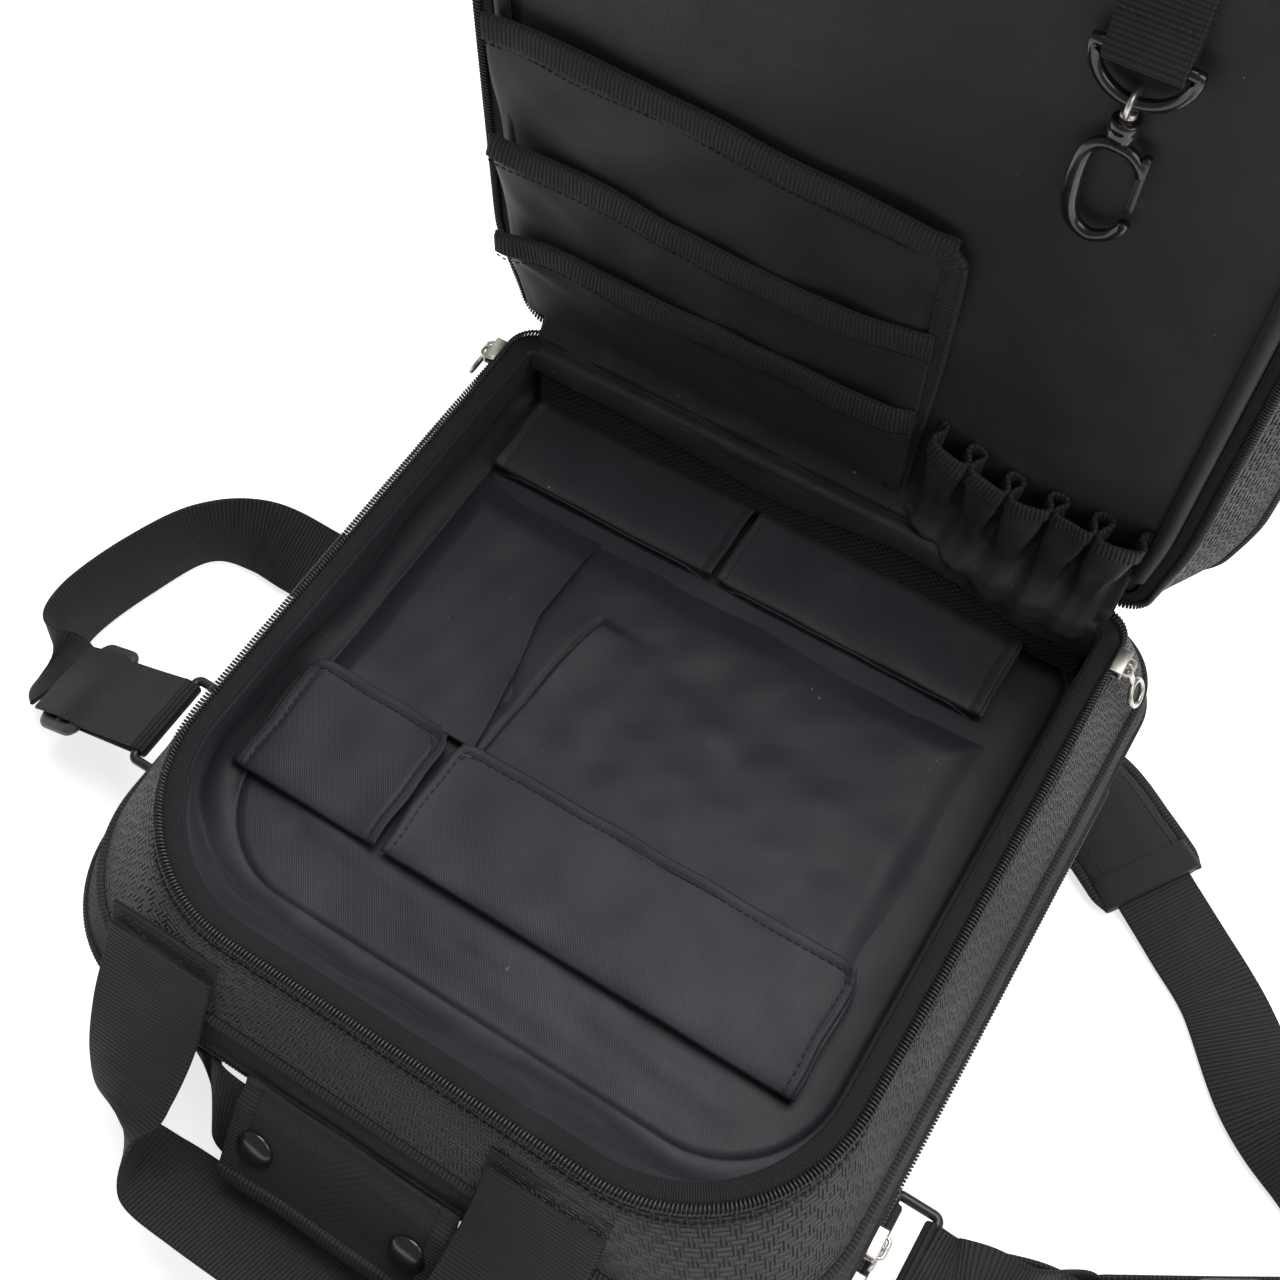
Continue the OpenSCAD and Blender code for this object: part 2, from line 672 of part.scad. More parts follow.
// The doubled end: two layers of webbing folded round the ring, running down to the adjuster
layer = ring_r + gap + strap_t / 2; // from the middle of the fold to the middle of each layer
end_drop = 27;                      // slope of the left end, in degrees
end_len = 78;
module doubled(length) {
    difference() {
        union() {
            rotate([90, 0, 0]) cylinder(r = layer + strap_t / 2, h = strap_w, center = true);
            for (side = [-1, 1]) translate([0, -strap_w / 2, side * layer - strap_t / 2])
                cube([length, strap_w, strap_t]);
        }
        rotate([90, 0, 0]) cylinder(r = layer - strap_t / 2, h = strap_w + 2, center = true);
        translate([0, -strap_w / 2 - 1, -layer + strap_t / 2]) cube([length + 1, strap_w + 2, 2 * layer - strap_t]);
    }
}
module at_left_end() {
    mirror([1, 0, 0]) translate([ring_out(left_ring), left_ring[0], left_ring[1]]) rotate([0, end_drop, 0])
        children();
}
// The right end twists onto its edge before it reaches the adjuster
right_adjuster = [ring_out(right_ring) + 69.8, right_ring[0] + 38, 24];
right_turn = 31;
module at_right_adjuster() {
    translate(right_adjuster) rotate([0, 0, right_turn]) rotate([90, 0, 0]) children();
}
module strap_end_left() { color(web_black) at_left_end() doubled(end_len); }
module strap_end_right() {
    start = [ring_out(right_ring) + 12, right_ring[0], right_ring[1]];
    color(web_black) {
        translate([ring_out(right_ring), right_ring[0], right_ring[1]]) doubled(12);
        ribbon([[start, [0, 1, 0]],
            [start + [10, 4, -2], [0, 0.94, 0.3]],
            [start + [26, 14, -10], [0, 0.6, 0.8]],
            [right_adjuster - [14, 8.4, 0], [0, 0, 1]],
            [right_adjuster, [0, 0, 1]]], strap_w, 2 * layer + strap_t, 4);
        at_right_adjuster() for (side = [-1, 1])
            translate([-1, -strap_w / 2, side * layer - strap_t / 2]) cube([58, strap_w, strap_t]);
    }
}
module tri_glide() {
    for (side = [-1, 1]) {
        translate([-13, side * (strap_w / 2 + 2.4) - 1.6, -7]) cube([26, 3.2, 14]);
        for (face = [-1, 1]) translate([side * 10.5 - 2.5, -strap_w / 2 - 3, face * 6.2 - 0.8])
            cube([5, strap_w + 6, 1.6]);
    }
    rotate([90, 0, 0]) cylinder(r = 1.9, h = strap_w + 6, center = true);
}
module tri_glides() {
    color(plastic_black) {
        at_left_end() translate([60, 0, 0]) tri_glide();
        at_right_adjuster() translate([38, 0, 0]) tri_glide();
    }
}
lie = strap_t / 2 + 0.2;            // height of webbing lying flat
left_run = end_len + 1.8;
left_end = [-ring_out(left_ring) - left_run * cos(end_drop), left_ring[0],
    left_ring[1] - left_run * sin(end_drop)];
left_floor = [left_end[0], left_end[1], 0];
module strap_webbing_left() {
    color(web_black) ribbon([
        [left_end, [0, 1, 0]],
        [left_floor + [-17.2, 9, 21.5], [-0.35, 0.85, 0.4]],
        [left_floor + [-24.2, 33, 20.6], [-0.2, 0.3, 0.9]],
        [left_floor + [-16.2, 69, 20.2], [-0.25, 0, 0.97]],
        [left_floor + [-2.2, 99, 20], [-0.2, 0.1, 0.97]],
        [left_floor + [21.8, 114, 16.4], [-0.2, 0.6, 0.7]],
        [left_floor + [54.8, 119, 8.4], [-0.15, 0.96, 0.24]],
        [[-170, 52, lie + 1.2], [-0.26, 0.96, 0]],
        [[-120, 65, lie], [-0.26, 0.96, 0]],
        [[-76, 76.5, lie], [-0.26, 0.96, 0]]], strap_w, strap_t, 4);
}
pad_t = 10.8;
pad_z = pad_t / 2 + 0.3;
module shoulder_pad() {
    color(black) ribbon([
        [[-75, 77, pad_z], [-0.26, 0.96, 0]],
        [[0, 96.5, pad_z], [-0.26, 0.96, 0]],
        [[80, 118, pad_z], [-0.26, 0.96, 0]],
        [[130, 131, pad_z], [-0.15, 0.98, 0]],
        [[160, 130, pad_z], [0.3, 0.94, 0]],
        [[184, 117, pad_z], [0.55, 0.84, 0]],
        [[206, 103, pad_z], [0.55, 0.84, 0]]], pad_w, pad_t, 4);
}
module strap_webbing_right() {
    color(web_black) ribbon([
        [[206.5, 102.7, pad_z], [0.55, 0.84, 0]],
        [[228, 89, lie + 1], [0.55, 0.84, 0]],
        [[right_adjuster[0] - 3, 71, lie + 0.8], [0.6, 0.8, 0]],
        [right_adjuster + [24, 105, -15.4], [0.62, 0.72, 0.3]],
        [right_adjuster + [50, 82, -7], [0.4, 0.4, 0.75]],
        [right_adjuster + [70, 60, -4], [0.1, 0.1, 0.97]],
        [right_adjuster + [78, 42, -4], [0, 0, 1]],
        [right_adjuster + [71, 34, -3], [0, 0, 1]],
        [right_adjuster + [58, 32, -1.5], [0, 0, 1]],
        [right_adjuster + [48.7, 29.2, 0], [0, 0, 1]]], strap_w, strap_t, 4);
}

back_panel();
back_pads();
rear_gusset_lower();
rear_zip_tape();
rear_gusset_upper();
piping();
front_gusset();
main_zip_tape();
main_lining();
floor_board();
hinge_strip();
pocket_near_left();
pocket_near_right();
pocket_far_left();
pocket_far_right();
flap_near_left();
flap_near_right();
flap_far_left();
flap_far_right();
stowed_harness_left();
stowed_harness_right();
harness_buckles();
lid_panel();
lid_foam();
lid_lining();
lid_border();
lid_zip_tape();
lid_welt();
lid_pocket_upper();
lid_pocket_middle();
lid_pocket_lower();
lid_bindings();
pen_loops();
key_webbing();
key_ring();
key_swivel();
key_hook();
hook_gate();
zip_slider_left();
zip_slider_right();
zip_pull_left();
zip_pull_right();
rear_slider_a();
rear_slider_b();
rear_pull_a();
rear_pull_b();
handle_front();
handle_patches();
handle_rear();
handle_wrap();
wrap_flap();
press_studs();
ring_tabs();
strap_rings();
strap_end_left();
strap_end_right();
tri_glides();
strap_webbing_left();
strap_webbing_right();
shoulder_pad();
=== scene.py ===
import math

import bpy
import numpy as np
from mathutils import Matrix, Vector


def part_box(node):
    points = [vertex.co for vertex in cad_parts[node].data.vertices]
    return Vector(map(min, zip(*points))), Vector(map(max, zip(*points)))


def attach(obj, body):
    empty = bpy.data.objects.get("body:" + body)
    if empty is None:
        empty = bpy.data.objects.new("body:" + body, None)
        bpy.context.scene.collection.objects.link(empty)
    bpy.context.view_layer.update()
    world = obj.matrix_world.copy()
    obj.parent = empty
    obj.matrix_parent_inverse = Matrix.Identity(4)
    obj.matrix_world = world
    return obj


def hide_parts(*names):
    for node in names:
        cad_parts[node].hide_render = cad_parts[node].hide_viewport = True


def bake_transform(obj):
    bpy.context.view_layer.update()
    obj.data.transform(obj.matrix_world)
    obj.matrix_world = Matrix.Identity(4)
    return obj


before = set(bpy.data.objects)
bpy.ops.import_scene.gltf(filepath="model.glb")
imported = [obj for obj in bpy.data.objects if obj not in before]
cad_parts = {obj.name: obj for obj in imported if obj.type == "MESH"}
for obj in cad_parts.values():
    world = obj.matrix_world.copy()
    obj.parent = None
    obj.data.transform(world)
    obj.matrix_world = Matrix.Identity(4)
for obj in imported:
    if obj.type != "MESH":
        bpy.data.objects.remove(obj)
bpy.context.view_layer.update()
mm = 0.001
print("frame loaded")


# small tools

def box(node):
    # a CAD node's lowest and highest corners, in millimetres
    low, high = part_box(node)
    return np.array(low) / mm, np.array(high) / mm


def unit(v):
    # v divided by its own length
    v = np.asarray(v, float)
    return v / np.maximum(np.linalg.norm(v, axis=-1, keepdims=True), 1e-9)


def ease(t):
    # 0 before 0, 1 after 1, a smooth step between
    t = np.clip(t, 0, 1)
    return t * t * (3 - 2 * t)


def bell(x, middle, width):
    # a smooth bump of height 1 at middle that fades out over about twice the width
    return np.exp(-((x - middle) / width) ** 2)


def openRun(keep):
    # the kept places of a closed loop in one unbroken order
    spots = np.nonzero(keep)[0]
    breaks = np.nonzero(np.diff(spots) > 1)[0]
    return np.roll(spots, -(breaks[0] + 1)) if len(breaks) else spots


def waves(p, seed, size, count=9):
    # soft noise: a sum of cosine waves in seeded directions, about -1 to 1, size is the usual wavelength
    rng = np.random.default_rng(seed)
    total = np.zeros(p.shape[:-1])
    for _ in range(count):
        direction = rng.normal(size=p.shape[-1])
        direction *= 2 * math.pi / (size * rng.uniform(0.6, 1.6)) / np.linalg.norm(direction)
        total += np.cos(p @ direction + rng.uniform(0, 2 * math.pi))
    return total / math.sqrt(count)


def makePiece(name, points, faces, uv=None):
    # a smooth mesh; points and uv are in millimetres, and uv has one entry for each corner of each face
    mesh = bpy.data.meshes.new(name)
    mesh.from_pydata((np.asarray(points, float).reshape(-1, 3) * mm).tolist(), [], faces)
    if uv is not None:
        setCloth(mesh, np.asarray(uv, np.float32) * mm)
    mesh.polygons.foreach_set("use_smooth", [True] * len(mesh.polygons))
    mesh.update()
    piece = bpy.data.objects.new(name, mesh)
    bpy.context.collection.objects.link(piece)
    return piece


def setCloth(mesh, uv):
    # the uv map that the weaves follow, in metres along the cloth
    layer = mesh.uv_layers.get("cloth") or mesh.uv_layers.new(name="cloth")
    layer.data.foreach_set("uv", np.asarray(uv, np.float32).ravel())


def readMesh(items, what, width, kind=float):
    # one property of all the items of a mesh, as rows of the given width
    values = np.zeros(len(items) * width, kind)
    items.foreach_get(what, values)
    return values.reshape(-1, width) if width > 1 else values


def endFaces(rows, cols):
    # the two faces that close the ends of a tube of rows rings
    return [list(range(cols))[::-1], list(range((rows - 1) * cols, rows * cols))]


def gridFaces(rows, cols, closed=False, flip=False):
    # quads of a rows x cols grid; closed joins the last column to the first
    r, c = np.meshgrid(np.arange(rows - 1), np.arange(cols if closed else cols - 1), indexing="ij")
    n = (c + 1) % cols
    quads = np.stack([r * cols + c, r * cols + n, (r + 1) * cols + n, (r + 1) * cols + c], -1).reshape(-1, 4)
    return quads[:, ::-1] if flip else quads


def gridNormals(p, closed=False):
    # cross product of the differences along both directions
    dv = (np.roll(p, -1, 1) - np.roll(p, 1, 1)) / 2 if closed else np.gradient(p, axis=1)
    return unit(np.cross(np.gradient(p, axis=0), dv))


def lengthsAlong(p, axis=0):
    # running length along one direction of a grid, averaged over the other, or along a line of points
    step = np.linalg.norm(np.diff(p, axis=axis), axis=-1)
    return np.append(0, np.cumsum(step if step.ndim < 2 else step.mean(1 - axis)))


def cloth(name, p, thick, closed=False, outside=False):
    # a closed slab: the grid p, the same grid moved back by thick, and strips that join their edges.
    # uv is the running length both ways, so a weave keeps its size
    rows, cols = p.shape[:2]
    back = p - gridNormals(p, closed) * (thick if outside else -thick)
    u, v = lengthsAlong(p, 0), lengthsAlong(p, 1)
    ring = np.append(v, v[-1] + np.linalg.norm(p[:, -1] - p[:, 0], axis=-1).mean()) if closed else v
    front = gridFaces(rows, cols, closed, flip=outside)
    rear = gridFaces(rows, cols, closed, flip=not outside) + rows * cols
    k = rows * cols

    def strip(ids, flip):
        a, b = ids[:-1], ids[1:]
        q = np.stack([a, b, b + k, a + k], -1)
        return q[:, ::-1] if flip else q

    first = np.arange(cols)
    last = (rows - 1) * cols + np.arange(cols)
    if closed:
        first, last = np.append(first, first[0]), np.append(last, last[0])
    faces = [front, rear, strip(first, not outside), strip(last, outside)]
    if not closed:
        left = np.arange(rows) * cols
        faces += [strip(left, outside), strip(left + cols - 1, not outside)]
    faces = np.concatenate(faces)
    ids = faces % k
    r, c = ids // cols, ids % cols
    wrap = closed & (c == 0) & (np.max(c, axis=1, keepdims=True) == cols - 1)
    uv = np.stack([ring[np.where(wrap, cols, c)], u[r]], -1)
    return makePiece(name, np.concatenate([p, back]), faces.tolist(), uv)


def smoothLine(stops, steps):
    # Catmull-Rom curve through the stops
    s = np.asarray(stops, float)
    s = np.concatenate([s[:1], s, s[-1:]])
    t = np.linspace(0, 1, steps, endpoint=False)[:, None]
    out = [0.5 * (2 * b + (c - a) * t + (2 * a - 5 * b + 4 * c - d) * t ** 2 + (3 * b - a - 3 * c + d) * t ** 3)
           for a, b, c, d in zip(s, s[1:], s[2:], s[3:])]
    return np.concatenate(out + [s[-1:]])


def evenly(path, step, closed=False):
    # the same line with its points an even distance apart
    p = np.concatenate([path, path[:1]]) if closed else np.asarray(path, float)
    d = lengthsAlong(p)
    s = np.linspace(0, d[-1], max(2, int(round(d[-1] / step)) + 1))
    out = np.stack([np.interp(s, d, p[:, i]) for i in range(p.shape[1])], -1)
    return out[:-1] if closed else out


def resample(way, count, wanted):
    # directions given at count even places, at wanted even places
    way = np.broadcast_to(np.asarray(way, float), (count, 3))
    given, spots = np.linspace(0, 1, count), np.linspace(0, 1, wanted)
    return np.stack([np.interp(spots, given, way[:, i]) for i in range(3)], -1)


def tangents(p, closed=False):
    # the direction from each point's neighbour to its next one
    return unit(np.roll(p, -1, 0) - np.roll(p, 1, 0) if closed else np.gradient(p, axis=0))


def carry(name, path, side, profile, closed=False):
    # a closed profile carried along a path: profile x runs along side, profile y along tangent x side
    path, side = np.asarray(path, float), np.broadcast_to(side, np.shape(path)).astype(float)
    t = tangents(path, closed)
    side = unit(side - (side * t).sum(-1, keepdims=True) * t)
    up = np.cross(t, side)
    prof = np.asarray(profile, float)
    if prof.ndim == 2:
        prof = np.broadcast_to(prof, (len(path),) + prof.shape)
    p = path[:, None] + side[:, None] * prof[..., :1] + up[:, None] * prof[..., 1:]
    rows, cols = p.shape[:2]
    along, around = lengthsAlong(path), lengthsAlong(np.concatenate([prof[0], prof[0][:1]]))
    along = np.append(along, along[-1] + np.linalg.norm(path[-1] - path[0]))
    quads = gridFaces(rows + closed, cols, True)
    r, c = quads // cols, quads % cols
    wrap = (c == 0) & (np.max(c, axis=1, keepdims=True) == cols - 1)
    uv = np.stack([along[r], around[np.where(wrap, cols, c)]], -1).reshape(-1, 2).tolist()
    faces = (quads % (rows * cols)).tolist()
    if not closed:
        for end, at in zip(endFaces(rows, cols), (along[0], along[rows - 1])):
            faces.append(end)
            uv += [[at, around[i % cols]] for i in end]
    return makePiece(name, p, faces, uv)


def roundProfile(width, thick, points=5):
    # a flat section with round edges, counted the right way for carry
    r = thick / 2
    a = np.linspace(-math.pi / 2, math.pi / 2, points)
    right = np.stack([width / 2 - r + r * np.cos(a), r * np.sin(a)], -1)
    return np.concatenate([right, -right])


def circleProfile(radius, points=12, flat=1.0):
    # a circle, or an ellipse whose y is flat times its x
    a = np.linspace(0, 2 * math.pi, points, endpoint=False)
    return np.stack([radius * np.cos(a), radius * flat * np.sin(a)], -1)


def webbing(name, stops, width, thick, steps=14):
    # stops are (centre, direction of the width); the flat section turns with the width between them
    centre = smoothLine([s[0] for s in stops], steps)
    across = smoothLine([s[1] for s in stops], steps)
    return carry(name, centre, across, roundProfile(width, thick))


def join(name, parts):
    # several meshes made one piece, keeping their uv and materials
    bpy.ops.object.select_all(action="DESELECT")
    for part in parts:
        part.select_set(True)
    bpy.context.view_layer.objects.active = parts[0]
    bpy.ops.object.join()
    piece = bpy.context.view_layer.objects.active
    piece.name = piece.data.name = name
    return piece


def repeated(name, shape, faces, places, xAxis, yAxis):
    # one small shape set down at many places, its x and y turned to the given directions
    x, y = unit(xAxis), unit(yAxis)
    y = unit(y - (x * y).sum(-1, keepdims=True) * x)
    z = np.cross(x, y)
    p = places[:, None] + sum(shape[None, :, [i]] * way[:, None] for i, way in enumerate((x, y, z)))
    quads = (faces[None] + (np.arange(len(places)) * len(shape))[:, None, None]).reshape(-1, len(faces[0]))
    return makePiece(name, p, quads.tolist(), p.reshape(-1, 3)[quads.ravel()][:, :2])


def stitchShape(length, width, height=0.7, tip=0.05):
    # a stitch: a six-sided bead drawn out to a point at both ends
    rings = ((-0.5, tip, tip), (-0.3, width / 2, height / 2), (0.3, width / 2, height / 2), (0.5, tip, tip))
    angles = np.linspace(0, 2 * math.pi, 6, endpoint=False)
    points = [[x * length, wide * math.cos(a), high * math.sin(a)] for x, wide, high in rings
              for a in angles]
    return np.array(points), gridFaces(4, 6, True)


def stitches(name, path, normal, pitch=3.2, length=2.4, width=0.75, closed=False):
    # a row of stitches along a path, lying on the cloth whose outward direction is normal
    p = evenly(path, pitch, closed)
    t = tangents(p, closed)
    n = resample(normal, len(path), len(p))
    shape, faces = stitchShape(length, width)
    return repeated(name, shape, faces, p, t, np.cross(n, t))


def zipCoil(name, path, out, up, pitch, width, height, wire):
    # a spring wound round the tape's edge: a tube along a flattened helix
    perTurn = 9
    p = evenly(path, pitch / perTurn)
    a = np.arange(len(p)) * 2 * math.pi / perTurn
    o, u = resample(out, len(path), len(p)), resample(up, len(path), len(p))
    flat = np.sign(np.cos(a)) * np.abs(np.cos(a)) ** 0.7
    line = p + o * (flat * width / 2)[:, None] + u * (np.sin(a) * height / 2)[:, None]
    return carry(name, line, o * np.cos(a)[:, None] + u * np.sin(a)[:, None], circleProfile(wire, 5))


def finishPiece(piece, material, body, stands=()):
    # material, riding and the CAD nodes it stands for, for every piece
    piece.data.materials.clear()
    piece.data.materials.append(material)
    if body:
        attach(piece, body)
    if stands:
        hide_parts(*stands)
    return piece


# materials

def build(name):
    # a new material with its node tree and its shader node
    material = bpy.data.materials.new(name)
    material.use_nodes = True
    tree = material.node_tree
    return material, tree, tree.nodes["Principled BSDF"]


def put(tree, kind, inputs=(), **settings):
    # one node, with sockets linked or values set by position
    node = tree.nodes.new(kind)
    for key, value in settings.items():
        setattr(node, key, value)
    feed(tree, node, dict(inputs))
    return node


def feed(tree, node, inputs):
    # each input linked if it is given a socket, or set to the given value
    for key, value in inputs.items():
        if isinstance(value, bpy.types.NodeSocket):
            tree.links.new(value, node.inputs[key])
        else:
            node.inputs[key].default_value = value


def calc(tree, operation, a, b=0.0, c=0.0):
    # a math node's result
    return put(tree, "ShaderNodeMath", {0: a, 1: b, 2: c}, operation=operation).outputs[0]


def blendColor(tree, amount, a, b):
    # colour a where amount is 0 and colour b where it is 1
    a, b = ((*color, 1) if isinstance(color, tuple) else color for color in (a, b))
    return put(tree, "ShaderNodeMix", {"Factor": amount, 6: a, 7: b}, data_type="RGBA").outputs[2]


def ramp(tree, value, low, high):
    # value mapped from low..high to 0..1, kept inside
    return put(tree, "ShaderNodeMapRange", {"Value": value, "From Min": low, "From Max": high}).outputs[0]


def noise(tree, vector, scale, detail=3.0, rough=0.55):
    # soft noise about 0.5, scale in turns per metre
    inputs = {"Vector": vector, "Scale": scale, "Detail": detail, "Roughness": rough}
    return put(tree, "ShaderNodeTexNoise", inputs).outputs[0]


def wave(tree, value, turn):
    # sine of the value times turn
    return calc(tree, "SINE", calc(tree, "MULTIPLY", value, turn))


def clothSpace(tree):
    # the running lengths along the cloth, and the place in the pack
    uv = put(tree, "ShaderNodeUVMap", uv_map="cloth").outputs[0]
    part = put(tree, "ShaderNodeSeparateXYZ", {0: uv})
    place = put(tree, "ShaderNodeTexCoord").outputs["Object"]
    return part.outputs[0], part.outputs[1], place


def basket(tree, u, v, look):
    # two-over two-under weave whose diagonal turns back every few threads, which draws chevrons.
    # Each cell is a rounded length of thread; 0 in the gaps, 1 on top
    x = calc(tree, "DIVIDE", u, look["pitch"])
    y = calc(tree, "DIVIDE", v, look["pitch"])
    turn = calc(tree, "PINGPONG", calc(tree, "FLOOR", x), look["turn"])
    step = calc(tree, "FLOORED_MODULO", calc(tree, "ADD", turn, calc(tree, "FLOOR", y)), 4.0)
    over = calc(tree, "LESS_THAN", step, 1.5)
    warp = wave(tree, calc(tree, "FRACT", x), math.pi)
    weft = wave(tree, calc(tree, "FRACT", y), math.pi)
    return put(tree, "ShaderNodeMix", {"Factor": over, 2: weft, 3: warp}, data_type="FLOAT").outputs[0]


def twill(tree, u, v, look):
    # fine ribs on the slant: 1 on a rib, 0 between
    slant = calc(tree, "ADD", u, calc(tree, "MULTIPLY", v, 0.75))
    return calc(tree, "MULTIPLY_ADD", wave(tree, slant, 2 * math.pi / look["pitch"]), 0.5, 0.5)


def ribs(tree, u, v, look):
    # ribs across the webbing, each crossed by fine warp threads
    rib = calc(tree, "ABSOLUTE", wave(tree, u, math.pi / look["pitch"]))
    warp = calc(tree, "ABSOLUTE", wave(tree, v, math.pi / 0.0011))
    return calc(tree, "MULTIPLY", rib, calc(tree, "MULTIPLY_ADD", warp, 0.35, 0.65))


def holes(tree, u, v, look):
    # knitted mesh over foam: round holes in a staggered grid
    turn = 2 * math.pi / look["pitch"]
    return ramp(tree, calc(tree, "MULTIPLY", wave(tree, u, turn), wave(tree, v, turn)), -0.2, 0.5)


def soil(tree, place, base, dust, amount, speck=0.0):
    # handling marks: broad dull patches, fine streaks, and a few pale specks of lint
    broad = ramp(tree, noise(tree, place, 9.0, 5.0, 0.6), 0.48, 0.78)
    fine = ramp(tree, noise(tree, place, 70.0, 4.0, 0.7), 0.5, 0.85)
    both = calc(tree, "MULTIPLY", broad, calc(tree, "MULTIPLY_ADD", fine, 0.75, 0.25))
    color = blendColor(tree, calc(tree, "MULTIPLY", both, amount), base, dust)
    if speck:
        dots = noise(tree, place, 420.0, 1.0, 0.3)
        sparse = noise(tree, place, 35.0, 1.0, 0.3)
        both = calc(tree, "MULTIPLY", ramp(tree, dots, 0.79, 0.82), ramp(tree, sparse, 0.62, 0.66))
        color = blendColor(tree, calc(tree, "MULTIPLY", both, speck), color, (0.45, 0.43, 0.4))
    return color


def fabric(name, look, weave):
    # the weave gives a height: colour dips in the gaps between threads, and the bump follows it
    material, tree, shader = build(name)
    u, v, place = clothSpace(tree)
    height = weave(tree, u, v, look)
    shade = blendColor(tree, height, look["gap"], look["thread"])
    relief = calc(tree, "MULTIPLY_ADD", noise(tree, place, 1500.0, 2.0), 0.25, height)
    bump = put(tree, "ShaderNodeBump", {"Height": relief, "Strength": look["relief"],
                                        "Distance": look["depth"]})
    feed(tree, shader, {
        "Base Color": soil(tree, place, shade, look["dust"], look["soil"], look.get("speck", 0)),
        "Roughness": calc(tree, "MULTIPLY_ADD", noise(tree, place, 40.0), 0.2, look["rough"] - 0.1),
        "Normal": bump.outputs[0], "Sheen Weight": look["sheen"], "Sheen Roughness": 0.5,
        "Specular IOR Level": look["shine"]})
    return material


def plainStuff(name, color, rough, metal=0.0, grain=0.15, mark=(0.1, 0.1, 0.1), shine=0.5, coat=0.0):
    # moulded plastic, enamel or plated zinc: fine grain, rubbed patches, slightly uneven gloss
    material, tree, shader = build(name)
    place = put(tree, "ShaderNodeTexCoord").outputs["Object"]
    rubbed = ramp(tree, noise(tree, place, 120.0, 5.0, 0.65), 0.5, 0.8)
    bump = put(tree, "ShaderNodeBump", {"Height": noise(tree, place, 2500.0, 2.0), "Strength": 0.15,
                                       "Distance": 0.0001})
    feed(tree, shader, {
        "Base Color": blendColor(tree, calc(tree, "MULTIPLY", rubbed, grain), color, mark),
        "Roughness": calc(tree, "MULTIPLY_ADD", noise(tree, place, 300.0), 0.25, rough - 0.12),
        "Normal": bump.outputs[0], "Metallic": metal, "Specular IOR Level": shine, "Coat Weight": coat})
    return material


# thread and gap are the colours on top and between, pitch and depth are in metres
ballisticLook = dict(thread=(0.062, 0.058, 0.066), gap=(0.003, 0.003, 0.004), dust=(0.13, 0.125, 0.13),
                     soil=0.35, rough=0.55, relief=1.0, depth=0.0011, sheen=0.05, shine=0.4, pitch=0.0017,
                     turn=3.0)
panelLook = dict(thread=(0.03, 0.029, 0.035), gap=(0.006, 0.006, 0.008), dust=(0.08, 0.078, 0.082), soil=0.3,
                 rough=0.64, relief=0.7, depth=0.0004, sheen=0.05, shine=0.3, pitch=0.0008, turn=50.0)
liningLook = dict(thread=(0.024, 0.024, 0.032), gap=(0.015, 0.0155, 0.02), dust=(0.132, 0.13, 0.15),
                  soil=0.45, speck=0.5, rough=0.56, relief=0.2, depth=0.00022, sheen=0.06, shine=0.38,
                  pitch=0.00115)
ribLook = dict(thread=(0.032, 0.029, 0.033), gap=(0.006, 0.005, 0.006), dust=(0.09, 0.083, 0.084), soil=0.35,
               rough=0.7, relief=0.8, depth=0.0005, sheen=0.05, shine=0.28, pitch=0.0017)
bindingLook = dict(ribLook, thread=(0.038, 0.035, 0.039), gap=(0.01, 0.009, 0.01))
tapeLook = dict(ribLook, pitch=0.0009, thread=(0.02, 0.02, 0.023), gap=(0.006, 0.006, 0.007))
meshLook = dict(thread=(0.016, 0.016, 0.019), gap=(0.002, 0.002, 0.003), dust=(0.05, 0.05, 0.05), soil=0.3,
                rough=0.8, relief=0.8, depth=0.0007, sheen=0.15, shine=0.25, pitch=0.0032)
coarse = fabric("coarseNylon", ballisticLook, basket)
panelNylon = fabric("panelNylon", panelLook, basket)
lining = fabric("liningTwill", liningLook, twill)
ribbed = fabric("ribbedWebbing", ribLook, ribs)
binding = fabric("bindingTape", bindingLook, ribs)
tapeCloth = fabric("zipTape", tapeLook, ribs)
meshCloth = fabric("spacerMesh", meshLook, holes)
thread = plainStuff("blackThread", (0.03, 0.03, 0.034), 0.6, mark=(0.1, 0.1, 0.1), shine=0.3)
coilNylon = plainStuff("coilNylon", (0.02, 0.02, 0.022), 0.34, mark=(0.08, 0.08, 0.08), shine=0.5)
blackPlastic = plainStuff("blackPlastic", (0.02, 0.02, 0.022), 0.36, mark=(0.09, 0.09, 0.095))
grayPlastic = plainStuff("wornPlastic", (0.05, 0.05, 0.054), 0.42, mark=(0.12, 0.12, 0.125), grain=0.5)
enamel = plainStuff("blackEnamel", (0.012, 0.012, 0.013), 0.22, mark=(0.05, 0.05, 0.05), coat=0.4)
zinc = plainStuff("platedZinc", (0.62, 0.59, 0.54), 0.34, metal=1.0, grain=0.5, mark=(0.33, 0.3, 0.27))
foamStuff = plainStuff("foamSheet", (0.05, 0.05, 0.055), 0.9, shine=0.2)
print("materials ready")


# outlines

